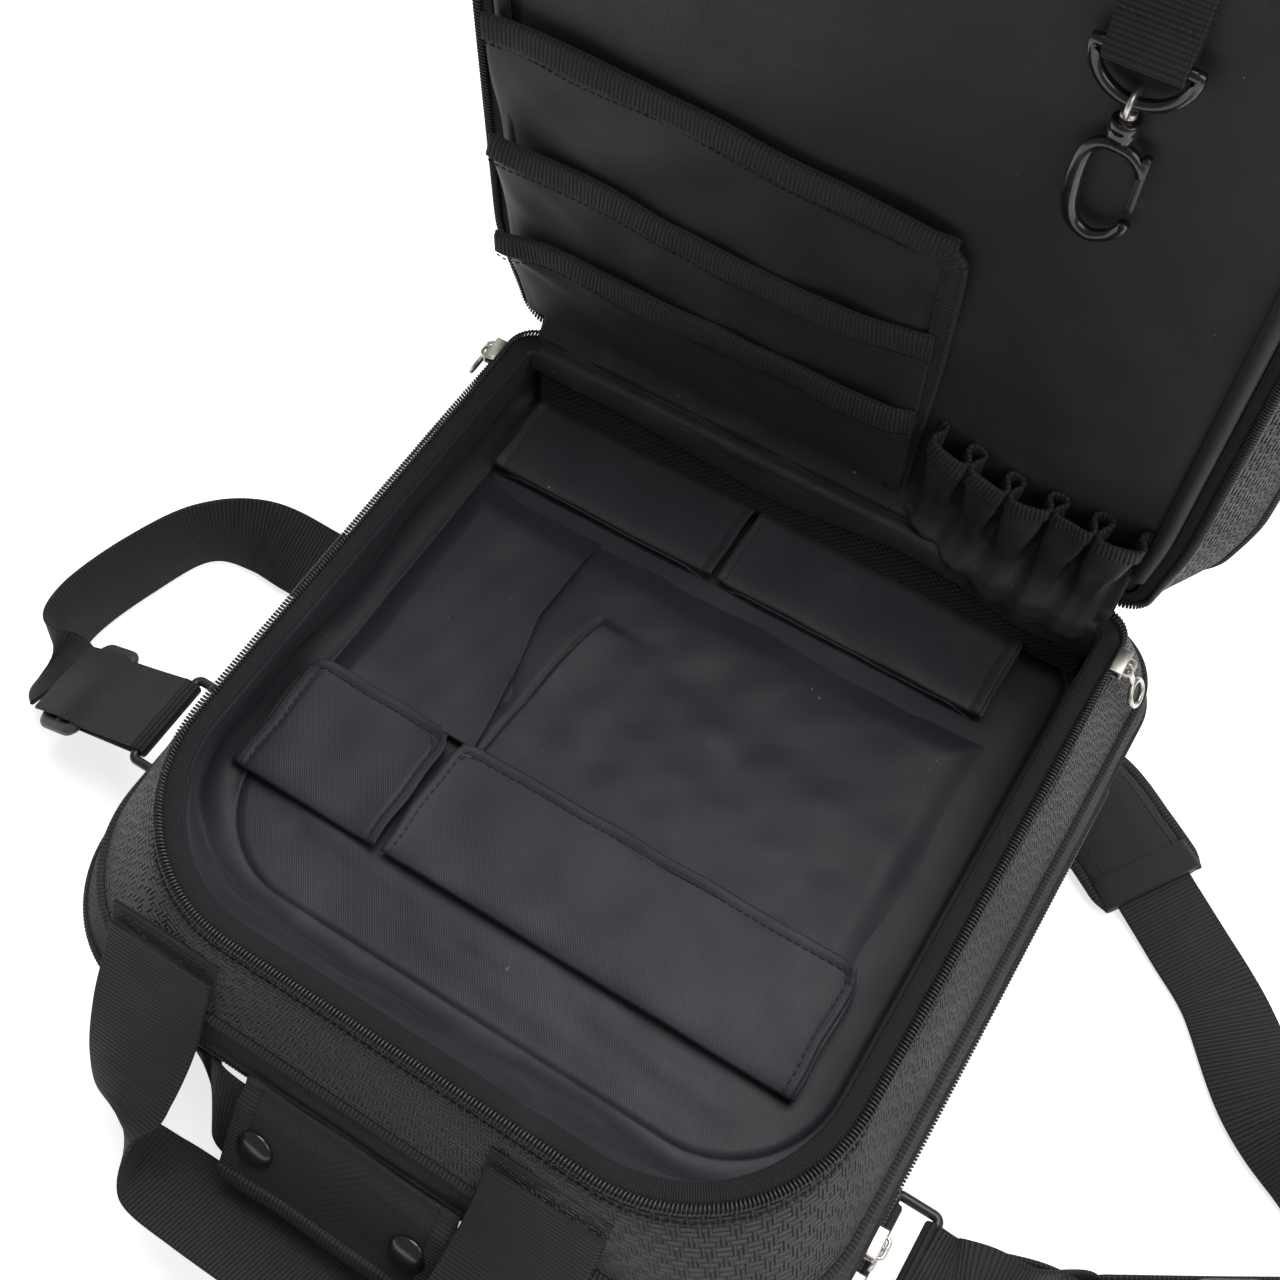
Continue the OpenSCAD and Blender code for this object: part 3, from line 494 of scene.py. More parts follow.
def outline(half, near, far, roundNear, roundFar, corner=28, side=70):
    # rounded rectangle, anticlockwise from the middle of its far side; the counts are always the same
    t = np.linspace(0, 1, side, endpoint=False)[:, None]
    a = np.linspace(0, math.pi / 2, corner, endpoint=False)[:, None]

    def line(p, q, n=1):
        return (np.array(p) + (np.array(q) - np.array(p)) * t)[::n]

    def arc(x, y, r, start):
        return np.array([x, y]) + r * np.concatenate([np.cos(a + start), np.sin(a + start)], -1)

    rn, rf, quarter = roundNear, roundFar, math.pi / 2
    return np.concatenate([
        line((0, far), (rf - half, far), 2), arc(rf - half, far - rf, rf, quarter),
        line((-half, far - rf), (-half, rn - near)), arc(rn - half, rn - near, rn, 2 * quarter),
        line((rn - half, -near), (half - rn, -near)), arc(half - rn, rn - near, rn, 3 * quarter),
        line((half, rn - near), (half, far - rf)), arc(half - rf, far - rf, rf, 0),
        line((half - rf, far), (0, far), 2)])


def inward(p):
    # sideways direction of a flat closed loop that points into it
    t = tangents(p, True)
    return np.stack([-t[:, 1], t[:, 0]], -1)


def inset(p, amount):
    # the loop moved inwards by amount
    return p + inward(p) * amount


def lift(p, z):
    # flat points given the height z
    return np.concatenate([p, np.broadcast_to(np.asarray(z, float).reshape(-1, 1), (len(p), 1))], -1)


def flatPiece(name, edge, height, thick, rings=34, place=None):
    # rings that shrink from the edge to the middle, raised by height(x, y, share of the way in), with a back
    # face thick below. uv is the flat place, and place turns the finished points into the frame
    middle = edge.mean(0)
    s = np.linspace(1, 0.015, rings) ** 0.9
    flat = middle + (edge - middle)[None] * s[:, None, None]
    z = height(flat[..., 0], flat[..., 1], (1 - s)[:, None] + 0 * flat[..., 0])
    p = np.concatenate([flat, z[..., None]], -1)
    cols, k = len(edge), rings * len(edge)
    top, low = gridFaces(rings, cols, True), gridFaces(rings, cols, True, flip=True) + k
    ids = np.append(np.arange(cols), 0)
    strip = np.stack([ids[:-1], ids[:-1] + k, ids[1:] + k, ids[1:]], -1)
    last = (rings - 1) * cols + np.arange(cols)
    faces = np.concatenate([top, low, strip]).tolist() + [last.tolist(), (last[::-1] + k).tolist()]
    points = np.concatenate([p.reshape(-1, 3), p.reshape(-1, 3) - [0, 0, thick]])
    uv = points[np.concatenate(faces)][:, :2]
    return makePiece(name, points if place is None else place(points), faces, uv)


def loft(levels, rows, puff=0.0, ripple=0.0, seed=1, size=70.0):
    # rows between closed loops at even steps of the way up, pushed out by a half sine and soft noise that
    # die at both edges
    loops = np.asarray(levels, float)
    way = np.linspace(0, len(loops) - 1, rows)
    low = np.minimum(way.astype(int), len(loops) - 2)
    t = (way - low)[:, None, None]
    p = loops[low] * (1 - t) + loops[low + 1] * t
    out = -gridNormals(p, True)
    rise = np.sin(np.linspace(0, math.pi, rows))[:, None]
    move = rise * (puff + ripple * waves(p, seed, size))
    return p + out * move[..., None]


# the pack's shell

shell = dict(rim=(69.0, 12.0), pipe=(56.0, 28.0), rear=(52.0, 28.0), back=(44.0, 30.0), bead=2.0, puff=0.9,
             ripple=0.8, cord=2.1)
zipHigh = box("main_zip_tape")[1]
rearLow, rearHigh = box("rear_gusset_lower")
backLow, backHigh = box("back_panel")
pipeLow, pipeHigh = box("piping")
gussetTop, rimTop = box("front_gusset")[1][2], zipHigh[2]


def around(node, radii, trim=0.0):
    # a node's half width, near and far reach, less the trim, and the outline of that size with the two radii
    low, high = box(node)
    size = (high[0] - trim, -low[1] - trim, high[1] - trim)
    return size, outline(*size, *radii)


rimSize, rim = around("main_zip_tape", shell["rim"], shell["bead"])
pipeSize, pipe = around("front_gusset", shell["pipe"])
rear = around("rear_gusset_lower", shell["rear"])[1]
backEdge = around("back_panel", shell["back"])[1]

upper = loft([lift(pipe, pipeHigh[2] - 0.5), lift(rim, gussetTop)], 18, shell["puff"], shell["ripple"], 3,
             60)
finishPiece(cloth("gussetCloth", upper, 3.0, True, False), coarse, "pack", ["front_gusset"])
finishPiece(carry("pipingCord", lift(inset(pipe, -0.2), (pipeLow[2] + pipeHigh[2]) / 2),
                  lift(inward(pipe), 0), circleProfile(shell["cord"], 10), True), binding, "pack",
            ["piping"])
outer = -gridNormals(upper, True)[-3]
finishPiece(stitches("rimStitches", upper[-3] + outer * 0.25, outer, closed=True), thread, "pack")
middleLow = box("rear_gusset_upper")[0]
panel = loft([lift(rear, middleLow[2]), lift(pipe, pipeLow[2] + 0.4)], 9, 0.6, 0.5, 5, 50)
finishPiece(cloth("panelCloth", panel, 3.0, True, False), panelNylon, "pack", ["rear_gusset_upper"])
foot = inset(backEdge, 5)
lower = loft([lift(foot, rearLow[2] + 0.2), lift(inset(backEdge, 0.8), rearLow[2] + 3.5),
              lift(backEdge * 0.62 + rear * 0.38, rearLow[2] + 20), lift(rear, rearHigh[2])], 26, 0.8, 1.0,
             7, 80)
finishPiece(cloth("rearCloth", lower, 3.0, True, False), coarse, "pack", ["rear_gusset_lower"])
finishPiece(flatPiece("backCloth", inset(backEdge, 2), lambda x, y, s: 0 * x + backHigh[2] - 0.2,
                      backHigh[2] - backLow[2] - 0.3), panelNylon, "pack", ["back_panel"])
print("shell done")

# the zips

zips = dict(coil=dict(pitch=1.5, width=3.4, height=1.7, wire=0.56), tape=8.5)


def zipRow(name, loop, z, keep, tapeIn, body, stands):
    # coil along the loop's edge and its tape inside it, over the part of the loop that keep picks out
    pick = openRun(keep)
    way = lift(loop, z)[pick]
    side = lift(inward(loop), 0)[pick]
    finishPiece(zipCoil(name + "Coil", way, -side, (0, 0, 1), **zips["coil"]), coilNylon, body)
    half = tapeIn / 2
    tape = carry(name + "Tape", way + side * (half + 0.4) - [0, 0, 0.7], side,
                 roundProfile(tapeIn, 1.0, 3))
    return finishPiece(tape, tapeCloth, body, stands)


notHinge = (np.abs(rim[:, 0]) > rimSize[0] - 14) | (rim[:, 1] < rimSize[2] - 2)
zipRow("mainZip", inset(rim, -0.2), rimTop - 1.2, notHinge, zips["tape"], "pack", ["main_zip_tape"])
lip = carry("rimBinding", lift(inset(rim, 0.9), gussetTop + 0.2), lift(inward(rim), 0),
            roundProfile(4.4, 2.6, 5), True)
finishPiece(lip, binding, "pack")
rearZipLow, rearZipHigh = box("rear_zip_tape")
zipMiddle = (rearZipLow[2] + rearZipHigh[2]) / 2
band = loft([lift(inset(rear, 1.0), rearZipLow[2] - 0.3), lift(inset(rear, 0.4), zipMiddle),
             lift(inset(rear, 1.0), rearZipHigh[2] + 0.3)], 7)
finishPiece(cloth("rearTape", band, 2.4, True, False), tapeCloth, "pack", ["rear_zip_tape"])
rearPick = openRun((rear[:, 1] < -40) | ((rear[:, 0] > 0) & (rear[:, 1] < 98)))
rearWay, rearSide = lift(inset(rear, -0.9), zipMiddle + 1)[rearPick], lift(inward(rear), 0)[rearPick]
rearCoil = zipCoil("rearCoil", rearWay, (0, 0, 1), -rearSide, zips["coil"]["pitch"], 3.2, 1.6, 0.45)
finishPiece(rearCoil, coilNylon, "pack")
for hemName, height in (("rearHemHigh", rearZipHigh[2] + 0.2), ("rearHemLow", rearZipLow[2] - 0.2)):
    hem = carry(hemName, lift(inset(rear, 0.2), height), lift(inward(rear), 0), roundProfile(2.6, 2.2, 4),
                True)
    finishPiece(hem, panelNylon, "pack")
print("zips done")

# the lining, floor and hinge

liningLow = box("main_lining")[0]
floorTop = liningLow[2]
inner = dict(gap=7.2, ripple=1.7, fillet=12.0, slackNear=40.0, slackSide=15.5)
topLoop = inset(rim, inner["gap"])
lowLoop = outline(pipeSize[0] - inner["slackSide"], pipeSize[1] - inner["slackNear"], pipeSize[2] - 11, 58,
                  26)
wallTop, wallLow = gussetTop - 4, floorTop + inner["fillet"]
bowl = [lift(inset(rim, 3.5), gussetTop + 1.4), lift(topLoop, gussetTop + 1.8),
        lift(inset(rim, 8.6), gussetTop + 0.4), lift(inset(rim, 8.4), wallTop)]
for k in range(1, 9):
    bowl.append(lift(inset(rim, 8.4) * (1 - k / 9) + lowLoop * k / 9, wallTop - (wallTop - wallLow) * k / 8))
for a in np.linspace(0, math.pi / 2, 8)[1:]:
    bowl.append(lift(inset(lowLoop, inner["fillet"] * (1 - math.cos(a)) + 0.1),
                     floorTop + inner["fillet"] * (1 - math.sin(a)) + 0.5))
bowl = np.array(bowl)
ripple = np.sin(np.clip(np.linspace(-0.35, math.pi, len(bowl)), 0, None))[:, None]
folds = 0.4 + inner["ripple"] * waves(bowl, 11, 75) + 0.5 * waves(bowl, 12, 26)
bowl = bowl + gridNormals(bowl, True) * (ripple * folds)[..., None]
dense = np.stack([smoothLine(bowl[:, i], 2) for i in range(bowl.shape[1])], 1)
finishPiece(cloth("liningWall", dense, 0.9, True, True), lining, "pack", ["main_lining"])
floorEdge = dense[-1][:, :2]


def floorHeight(x, y, s):
    # slack cloth: soft noise, and long low folds that run along the near side
    p = np.stack([x, y], -1)
    folds = sum(high * bell(y + 0.09 * x, at, wide) * ease((x - start) / 40) * ease((end - x) / 50)
                for at, wide, high, start, end in
                ((-96, 4.5, 1.3, -130, 40), (-107, 5, 1.2, -60, 110), (-91, 3.5, 1.0, 10, 140)))
    return floorTop + 0.4 + ease(s * 6) * (0.9 + folds + 0.4 * waves(p, 21, 90) + 0.2 * waves(p, 22, 30))


finishPiece(flatPiece("floorCloth", inset(floorEdge, -0.6), floorHeight, 0.4), lining, "pack")
hingeHigh = box("hinge_strip")[1]
hingeY, hingeZ = hingeHigh[1] - 3, hingeHigh[2] - 3


def hingeCloth(name, line, width, material, sag, seed):
    # a strip of cloth across the hinge: the line round it in the side plane, carried sideways, with soft puckers
    path = smoothLine([[0, hingeY + y, hingeZ + z] for y, z in line], 6)
    x = np.linspace(-width, width, 120)
    p = path[:, None] * np.ones((1, len(x), 1))
    p[..., 0] = x
    rise = np.sin(np.linspace(0, math.pi, len(path)))[:, None]
    p[..., 1:] += (rise * (sag + 0.5 * waves(p, seed, 34)))[..., None] * np.array([0.7, -0.7])
    return finishPiece(cloth(name, p, 1.0), material, None)


lidFaceY = box("lid_lining")[0][1]
innerHinge = hingeCloth("hingeMesh", ((-11.5, -41), (-9.5, -24), (-6.5, -10), (-2.5, -4), (-0.5, 0.5)), 133,
                        meshCloth, -0.4, 31)
outerHinge = hingeCloth("hingeOuter", ((-0.5, -9), (2.2, -5), (4, -1.5), (7, 0.3), (10, 0.9)), 131, coarse,
                        0.3, 32)
# the lining sags over the rim: heights below the hinge are shares of the fall, which differs along the hinge
droop = dict(depth=17.0, uneven=3.5, seed=33)
x = np.linspace(-136, 136, 150)
fall = droop["depth"] + droop["uneven"] * waves(x[:, None], droop["seed"], 150)
fall += 6 * bell(x, 100, 26) - 4 * bell(x, -136, 30)
rows = smoothLine([[22, 0.3], [12, -1.0], [4, -5.0], [0, -9.0], [-0.3, -14.8], [-0.62, -16.8],
                   [-0.95, -17.2], [-1.05, -16.2], [-1.02, -14.4], [-0.8, -13.4]], 6)
down = np.where(rows[:, :1] > 0, rows[:, :1], rows[:, :1] * fall)
p = np.stack([x + 0 * down, lidFaceY + rows[:, 1:] + 0 * down, hingeZ + down], -1)
p[..., 1] += 0.5 * waves(p[..., :1], 34, 40) * bell(rows[:, :1], -0.4, 0.8)
droopHinge = finishPiece(cloth("hingeDroop", p[::-1], 1.0), lining, None)
print("lining done")


# floor pockets and their flaps

pocketLook = dict(edge=16.0, ripple=0.75)


def pocketCloth(node, seed, reach, rightEdge=None, leftEdge=None):
    # a flat pocket sewn down at its outer sides and far end: it comes up out of the floor over the edge distance,
    # and long shallow folds run across it. Where an edge is given, that side follows it and stays up
    low, high = box(node)
    t = np.linspace(0, 1, 130)[:, None]
    w = np.linspace(0, 1, 150)[None]
    y = high[1] + 5 - t * reach
    x0 = low[0] - 3 + 0 * t if leftEdge is None else leftEdge(t)
    x1 = high[0] + 3 + 0 * t if rightEdge is None else rightEdge(t)
    w = w if leftEdge is None else w ** 1.5
    gx, gy = x0 + (x1 - x0) * w, y + 0 * w
    p = np.stack([gx, gy], -1)
    away = (high[1] + 5 - gy) * 0.8
    for edge, given in ((gx - x0, leftEdge), (x1 - gx, rightEdge)):
        away = np.minimum(away, edge) if given is None else away
    rise = ease(away / pocketLook["edge"])
    z = floorTop + 0.5 + rise * (high[2] - low[2] - 1.6) + rise * (
        pocketLook["ripple"] * waves(p * [0.4, 1.0], seed, 44) + 0.25 * waves(p, seed + 1, 26))
    return p, z, t, rise


# where the two near pockets meet, the left one ends in an edge that lies over the right one. The right one has
# a fold that starts as a point further in and runs down to meet it, turned up a little
fold = dict(step=2.0, rise=3.2, left=((0, 0.07, 0.44, 0.66, 0.93, 1), (-3.0, -3.4, -4.6, 1.3, 6.2, 7.0)),
            right=((0, 0.33, 0.54, 0.77, 0.97, 1), (23, 20, 15, 12.6, 11, 11)))
pocketGap = (box("pocket_near_left")[1][0] + box("pocket_near_right")[0][0]) / 2


def leftEdge(t):
    # the left pocket's right edge, at the share t of the way down
    return pocketGap + np.interp(t, *fold["left"])


def sewPocket(node, grid, z):
    # the grid raised to z, as the cloth that stands for the node
    return finishPiece(cloth(node + "Cloth", np.concatenate([grid, z[..., None]], -1)[::-1], 0.8), lining,
                       "pack", [node])


for index, node in enumerate(("pocket_far_left", "pocket_far_right")):
    grid, z, t, rise = pocketCloth(node, 46 + 3 * index, 60)
    sewPocket(node, grid, z)
grid, z, t, rise = pocketCloth("pocket_near_left", 40, 118, rightEdge=leftEdge)
toEdge = leftEdge(t) - grid[..., 0]
sewPocket("pocket_near_left", grid, z + rise * (0.9 * np.exp(-toEdge / 7) + 0.7))
grid, z, t, rise = pocketCloth("pocket_near_right", 43, 118, leftEdge=lambda t: leftEdge(t) - 5)
u = grid[..., 0] - pocketGap
rightEdge = np.interp(t, *fold["right"])
opened = ease((t - 0.31) / 0.05) * rise
turn = fold["rise"] * np.exp(-np.clip(u - rightEdge, 0, None) / 9) * (0.6 + 0.6 * bell(t, 0.4, 0.12))
sewPocket("pocket_near_right", grid, z - rise * fold["step"]
          * np.exp(-np.clip(u - leftEdge(t) + pocketGap, 0, None) / 9) + opened
          * (ease((u - rightEdge + 0.9) / 1.2) * turn - 1.3 * bell(u, rightEdge - 1.6, 1.6)))

flapLook = dict(curl=1.7, wave=0.45, hem=4.4, wobble=0.3, rounding=4.0, facing=(2.2, -2.6))


def flapCloth(node, seed, corner):
    # two layers of cloth folded at the near edge: flat, the sewn hem a little thicker, with edges that curl up,
    # more at one corner. The lower layer shows beyond the upper one
    low, high = box(node)
    x = np.linspace(low[0], high[0], 100)
    y = np.linspace(low[1] - 0.4, high[1], 56)
    gx, gy = np.meshgrid(x, y)
    p = np.stack([gx, gy], -1)
    toSide = np.minimum(gx - low[0], high[0] - gx)
    toFar = high[1] - gy
    edge = np.minimum(toSide, toFar)
    reach = np.hypot(gx - (low[0] if corner < 0 else high[0]), toFar)
    curl = 0.5 * np.exp(-toSide / 5) + 0.6 * np.exp(-toFar / 6) + 1.2 * np.exp(-reach / 12)
    hem = 0.35 * ease((flapLook["hem"] - edge) / 0.8) - 0.4 * bell(edge, flapLook["hem"], 0.9)
    z = high[2] - 0.8 + flapLook["curl"] * curl + flapLook["wave"] * waves(p, seed, 44) + hem
    z = z - 1.3 * np.exp(-(gy - low[1]) / 3.0)
    side = np.sign(gx - (low[0] + high[0]) / 2)
    cut = flapLook["rounding"] * bell(np.hypot(toSide, toFar), 0, 5.0)
    gx = gx - side * cut * 0.6 + flapLook["wobble"] * bell(toSide, 0, 9) * waves(gy[..., None], seed + 5, 34)
    gy = gy - cut * 0.6 + flapLook["wobble"] * bell(toFar, 0, 9) * waves(p[..., :1], seed + 6, 42)
    grid = np.stack([gx, gy, z], -1)
    finishPiece(cloth(node + "Cloth", grid, 0.9), lining, node, [node])
    middle = np.array([(low[0] + high[0]) / 2, low[1], 0])
    under = (grid - middle) * [0.992, 0.97, 1] + middle + [flapLook["facing"][0] * corner, 0, -1.15]
    under[..., 1] += flapLook["facing"][1] * ease((gy - low[1]) / 20)
    finishPiece(cloth(node + "Facing", under, 0.6), lining, node)
    ix = int(round(flapLook["hem"] / (x[1] - x[0])))
    iy = int(round(flapLook["hem"] / (y[1] - y[0])))
    way = np.concatenate([grid[2:-iy, ix], grid[-1 - iy, ix:-ix], grid[2:-iy, -1 - ix][::-1]]) + [0, 0, 0.35]
    finishPiece(stitches(node + "Stitches", way, (0, 0, 1), 3.6, 2.7, 0.85), thread, node)


for index, node in enumerate(("flap_near_left", "flap_near_right", "flap_far_left", "flap_far_right")):
    flapCloth(node, 60 + index, index % 2 * 2 - 1)
print("pockets done")

# the lid


softLid = dict(left=11.0, right=5.0, start=80.0, rise=55.0)


def onLid(p):
    # lid coordinates are sideways, away from the hinge, and inwards; the soft sides stand out a little
    # beyond the hinge's width, more on the left
    p = np.asarray(p, float)
    x, s = p[..., 0], p[..., 1]
    reach = np.clip((np.abs(x) - softLid["start"]) / (145 - softLid["start"]), 0, 1.3) ** 2
    out = np.where(x < 0, -softLid["left"], softLid["right"]) * reach * ease(s / softLid["rise"])
    return np.stack([x + out * (1 - 0.3 * ease((s - 150) / 150)), hingeY - p[..., 2], hingeZ + s], -1)


def lidWay(v):
    # a direction in lid coordinates turned into the frame
    v = np.asarray(v, float)
    return np.stack([v[..., 0], -v[..., 2], v[..., 1]], -1)


def lidBox(node):
    # a node's corners in lid coordinates
    low, high = box(node)
    return (np.array([low[0], low[2] - hingeZ, hingeY - high[1]]),
            np.array([high[0], high[2] - hingeZ, hingeY - low[1]]))


lidShape = dict(roundTop=69.0, roundLow=12.0, outerTop=64.0, outerLow=24.0, bead=1.4, ripple=0.9, dome=2.5)
borderHigh = lidBox("lid_border")[1]
lidZipHigh = lidBox("lid_zip_tape")[1]
outerLow, outerHigh = lidBox("lid_panel")
lidTop = lidZipHigh[1] - lidShape["bead"]
lidZip = outline(lidZipHigh[0] - lidShape["bead"], -0.5, lidTop, lidShape["roundLow"], lidShape["roundTop"])
lidOuter = outline(outerHigh[0], 0, outerHigh[1], lidShape["outerLow"], lidShape["outerTop"])
rise = loft([lift(lidOuter, outerHigh[2] + 0.5), lift(lidZip, borderHigh[2])], 16, 0.8, lidShape["ripple"],
            71, 70)
finishPiece(cloth("lidBorderCloth", onLid(rise), 3.0, True, False), coarse, "lid", ["lid_border"])
lidPanel = flatPiece("lidPanelCloth", inset(lidOuter, 1.2)[::-1],
                     lambda x, y, s: 0 * x + outerLow[2] - lidShape["dome"] * ease(s * 3), -3.0, place=onLid)
finishPiece(lidPanel, coarse, "lid", ["lid_panel"])
finishPiece(carry("lidPiping", onLid(lift(lidOuter, outerLow[2] + 1.5)), lidWay(lift(inward(lidOuter), 0)),
                  circleProfile(2.3, 10), True), binding, "lid")
pick = openRun((np.abs(lidZip[:, 0]) > lidZip[:, 0].max() - 14) | (lidZip[:, 1] > 3))
lidCoilWay = onLid(lift(inset(lidZip, -0.2), -2.4))[pick]
lidSide = lidWay(lift(inward(lidZip), 0))[pick]
lidIn = lidWay(np.array([0, 0, 1.0]))
finishPiece(zipCoil("lidCoil", lidCoilWay, -lidSide, lidIn, **zips["coil"]), coilNylon, "lid")
finishPiece(carry("lidTape", lidCoilWay + lidSide * 3.6 - lidIn * 0.6, lidSide, roundProfile(6.4, 1.0, 3)),
            tapeCloth, "lid", ["lid_zip_tape"])
liningSize = lidBox("lid_lining")[1]


def lidFace(x, s):
    # height of the lid's lining: nearly flat, with broad soft dents and a slow crown
    p = np.stack([x, s], -1)
    return liningSize[2] + 0.3 + 0.8 * waves(p, 81, 120) + 0.25 * waves(p, 82, 38)


def lidFaceHeight(x, s, share):
    # the same, brought level at the edge
    return lidFace(x, s) * ease(share * 12) + (1 - ease(share * 12)) * liningSize[2]


edge = inset(lidZip, 7)
finishPiece(flatPiece("lidLiningCloth", edge, lidFaceHeight, 1.6, rings=60, place=onLid), lining, "lid",
            ["lid_lining"])
weltKeep = openRun(edge[:, 1] > 20)
weltWay = onLid(lift(inset(lidZip, 8.6), -1.7))[weltKeep]
weltSide = lidWay(lift(inward(lidZip), 0))[weltKeep]
finishPiece(carry("lidWelt", weltWay, weltSide, circleProfile(3.3, 12, 0.72)), lining, "lid",
            ["lid_welt"])

tierLook = dict(curl=6.5, puff=1.8, band=11.5, mouths=((7, -2, -9), (8, -6, -3), (2, -2, 0)))
upperLow, upperHigh = lidBox("lid_pocket_upper")
tierRight = upperHigh[0]
bands = []
for index, node in enumerate(("lid_pocket_upper", "lid_pocket_middle", "lid_pocket_lower")):
    low, high = lidBox(node)
    x = np.linspace(low[0] - 6, high[0] + 4, 130)
    v = np.linspace(0, 1, 64)
    gx, gv = np.meshgrid(x, v)
    leftness = np.exp(-(gx - x[0]) / 20)
    spots = smoothLine(np.stack([[x[0], -50, x[-1]], tierLook["mouths"][index]], -1), 30)
    mouth = high[1] + np.interp(x, spots[:, 0], spots[:, 1]) + 1.1 * waves(x[:, None], 90 + index, 60)
    gs = low[1] + (mouth[None] - low[1]) * gv
    p = np.stack([gx, gs], -1)
    edgeDown = ease((gx - x[0]) / 9 + gv * 0.8) * ease((x[-1] - gx) / 9)
    full = np.sin(gv * math.pi * 0.85) * (0.8 + 0.5 * waves(p, 95 + index, 46))
    height = high[2] + 0.2 + edgeDown * tierLook["puff"] * full
    sweep = bell(gv * 1.6 + (gx - x[0]) / 90, 1.1, 0.12)
    sweep += 0.8 * bell(gv * 1.9 + (gx - x[0]) / 70, 1.75, 0.14)
    height = height + tierLook["curl"] * leftness * ease(gv * 2.2 - 1.2) + 1.1 * ease(gv * 3 - 2) * edgeDown
    height = height + (1.6 if index == 2 else 0.7) * sweep * ease((gx - x[0]) / 8) * bell(gx, x[0], 95)
    grid = np.stack([gx, gs, height], -1)
    finishPiece(cloth(node + "Cloth", onLid(grid), 1.0), lining, "lid", [node])
    step = grid[-1] - grid[-2]
    way = grid[-1] - unit(step) * tierLook["band"] / 2
    bands.append(carry("band%d" % index, onLid(way + [0, 0, 0.2]), lidWay(step),
                       roundProfile(tierLook["band"], 2.6)))
    sewn = grid[-1] - unit(step) * (tierLook["band"] + 2.4) + [0, 0, 0.3]
    finishPiece(stitches(node + "Stitches", onLid(sewn), lidIn, 3.0, 2.2, 0.7), thread, "lid")
bandHigh = lidBox("lid_bindings")[1]
sideX = (tierRight + bandHigh[0]) / 2
cornerS = upperHigh[1] + tierLook["mouths"][0][2] - tierLook["band"] / 2
corner = [[tierRight - 14, cornerS + 0.4, -0.4], [tierRight - 3, cornerS - 0.4, -0.5],
          [sideX - 1.5, cornerS - 4, -1], [sideX, cornerS - 13, -1.8], [sideX, cornerS - 55, -1.8],
          [sideX - 1, upperLow[1] + 50, -1.8], [sideX - 3, upperLow[1], -1.6], [sideX - 4, -4, 1.2]]
cornerWay = smoothLine(corner, 14)
cornerSide = np.cross(tangents(cornerWay), [0, 0, 1.0])
bands.append(carry("bandSide", onLid(cornerWay), lidWay(cornerSide), roundProfile(9.5, 3.0, 5)))
finishPiece(join("lidBindings", bands), binding, "lid", ["lid_bindings"])
for offset in (-3.4, 3.4):
    sewn = onLid(cornerWay + unit(cornerSide) * offset + [0, 0, 1.5])
    finishPiece(stitches("bandStitches%d" % (offset > 0), sewn, lidIn, 3.0, 2.2, 0.7), thread, "lid")
print("lid pockets done")

# pen loops: flat-fronted half tubes that dip between each other into small round curls, and run down over the
# lining's fold
loops = dict(count=5, tall=9.5, band=9.5, curl=3.2)
loopLow, loopHigh = lidBox("pen_loops")
pitch = (loopHigh[0] - loopLow[0]) / loops["count"]
c = loops["curl"]
turnIn = np.array([[0, 0.03], [c * 0.8, 0.1], [c, 0.33], [c * 0.55, 0.56], [c * 0.3, 0.8], [c * 0.9, 1.0]])
turnOut = turnIn[:0:-1] * [-1, 1] + [pitch, 0]
oneLoop = np.concatenate([turnIn, [[pitch / 2, 1.04]], turnOut])
section = np.concatenate([oneLoop + [pitch * k, 0] for k in range(loops["count"])]
                         + [[[pitch * loops["count"], 0.03]]])
section = smoothLine(section, 4)
along = lengthsAlong(section * [1, 8])
evenX = along / along[-1] * (loopHigh[0] - loopLow[0])
gv = np.linspace(0, 1, 56)[:, None]
mix = ease((gv - 0.15) * 1.4)
gx = loopLow[0] + evenX * (1 - mix) + section[:, 0] * mix
mouth = np.interp(gx, [loopLow[0], 83, loopHigh[0]], [55, 44, 47]) - 2.5 * (section[:, 1] - 0.5)
foot = np.interp(gx, [loopLow[0], 104, loopHigh[0]], [2, -15, -11])
gs = foot + (mouth - foot) * gv
p = np.stack([gx, gs], -1)
crease = waves(p * [1.0, 0.3], 104, 10) * ease((0.95 - gv) * 1.5)
hang = np.interp(gs, [-17, -10, -5, 0, 4, 12, 22], [13.6, 13.2, 11.2, 5.6, 1.8, -2.6, -3.6])
gz = hang + section[:, 1] * loops["tall"] * (0.25 + 0.75 * ease(gv * 1.3)) * (1 - 0.12 * waves(p, 105, 30))
gz = gz + 0.5 * crease
grid = np.stack([gx - (mouth - gs) * 0.07, gs, gz], -1)
penLoops = finishPiece(cloth("penLoopCloth", onLid(grid), 0.9), lining, None, ["pen_loops"])
step = unit(grid[-1] - grid[-2])
way = grid[-1] - step * (loops["band"] / 2 - 1)
finishPiece(carry("penLoopBinding", onLid(way), lidWay(step), roundProfile(loops["band"], 2.0, 5)), binding,
            "lid")
print("pen loops done")

# the key clip


def turned(name, base, axis, stations, points=20):
    # a round body: circles of the given radii at the given distances from base along the axis
    base, axis = np.asarray(base, float), unit(axis)
    side = unit(np.cross(axis, [0.3, 0.5, 0.8]))
    path = base + axis * np.array([[s[0]] for s in stations], float)
    prof = np.stack([circleProfile(s[1], points) for s in stations])
    p = path[:, None] + prof[..., :1] * side + prof[..., 1:] * np.cross(axis, side)
    return makePiece(name, p, gridFaces(len(stations), points, True).tolist()
                     + endFaces(len(stations), points))


def applied(piece):
    # the piece with its modifiers worked in
    graph = bpy.context.evaluated_depsgraph_get()
    mesh = bpy.data.meshes.new_from_object(piece.evaluated_get(graph))
    piece.modifiers.clear()
    piece.data = mesh
    return piece


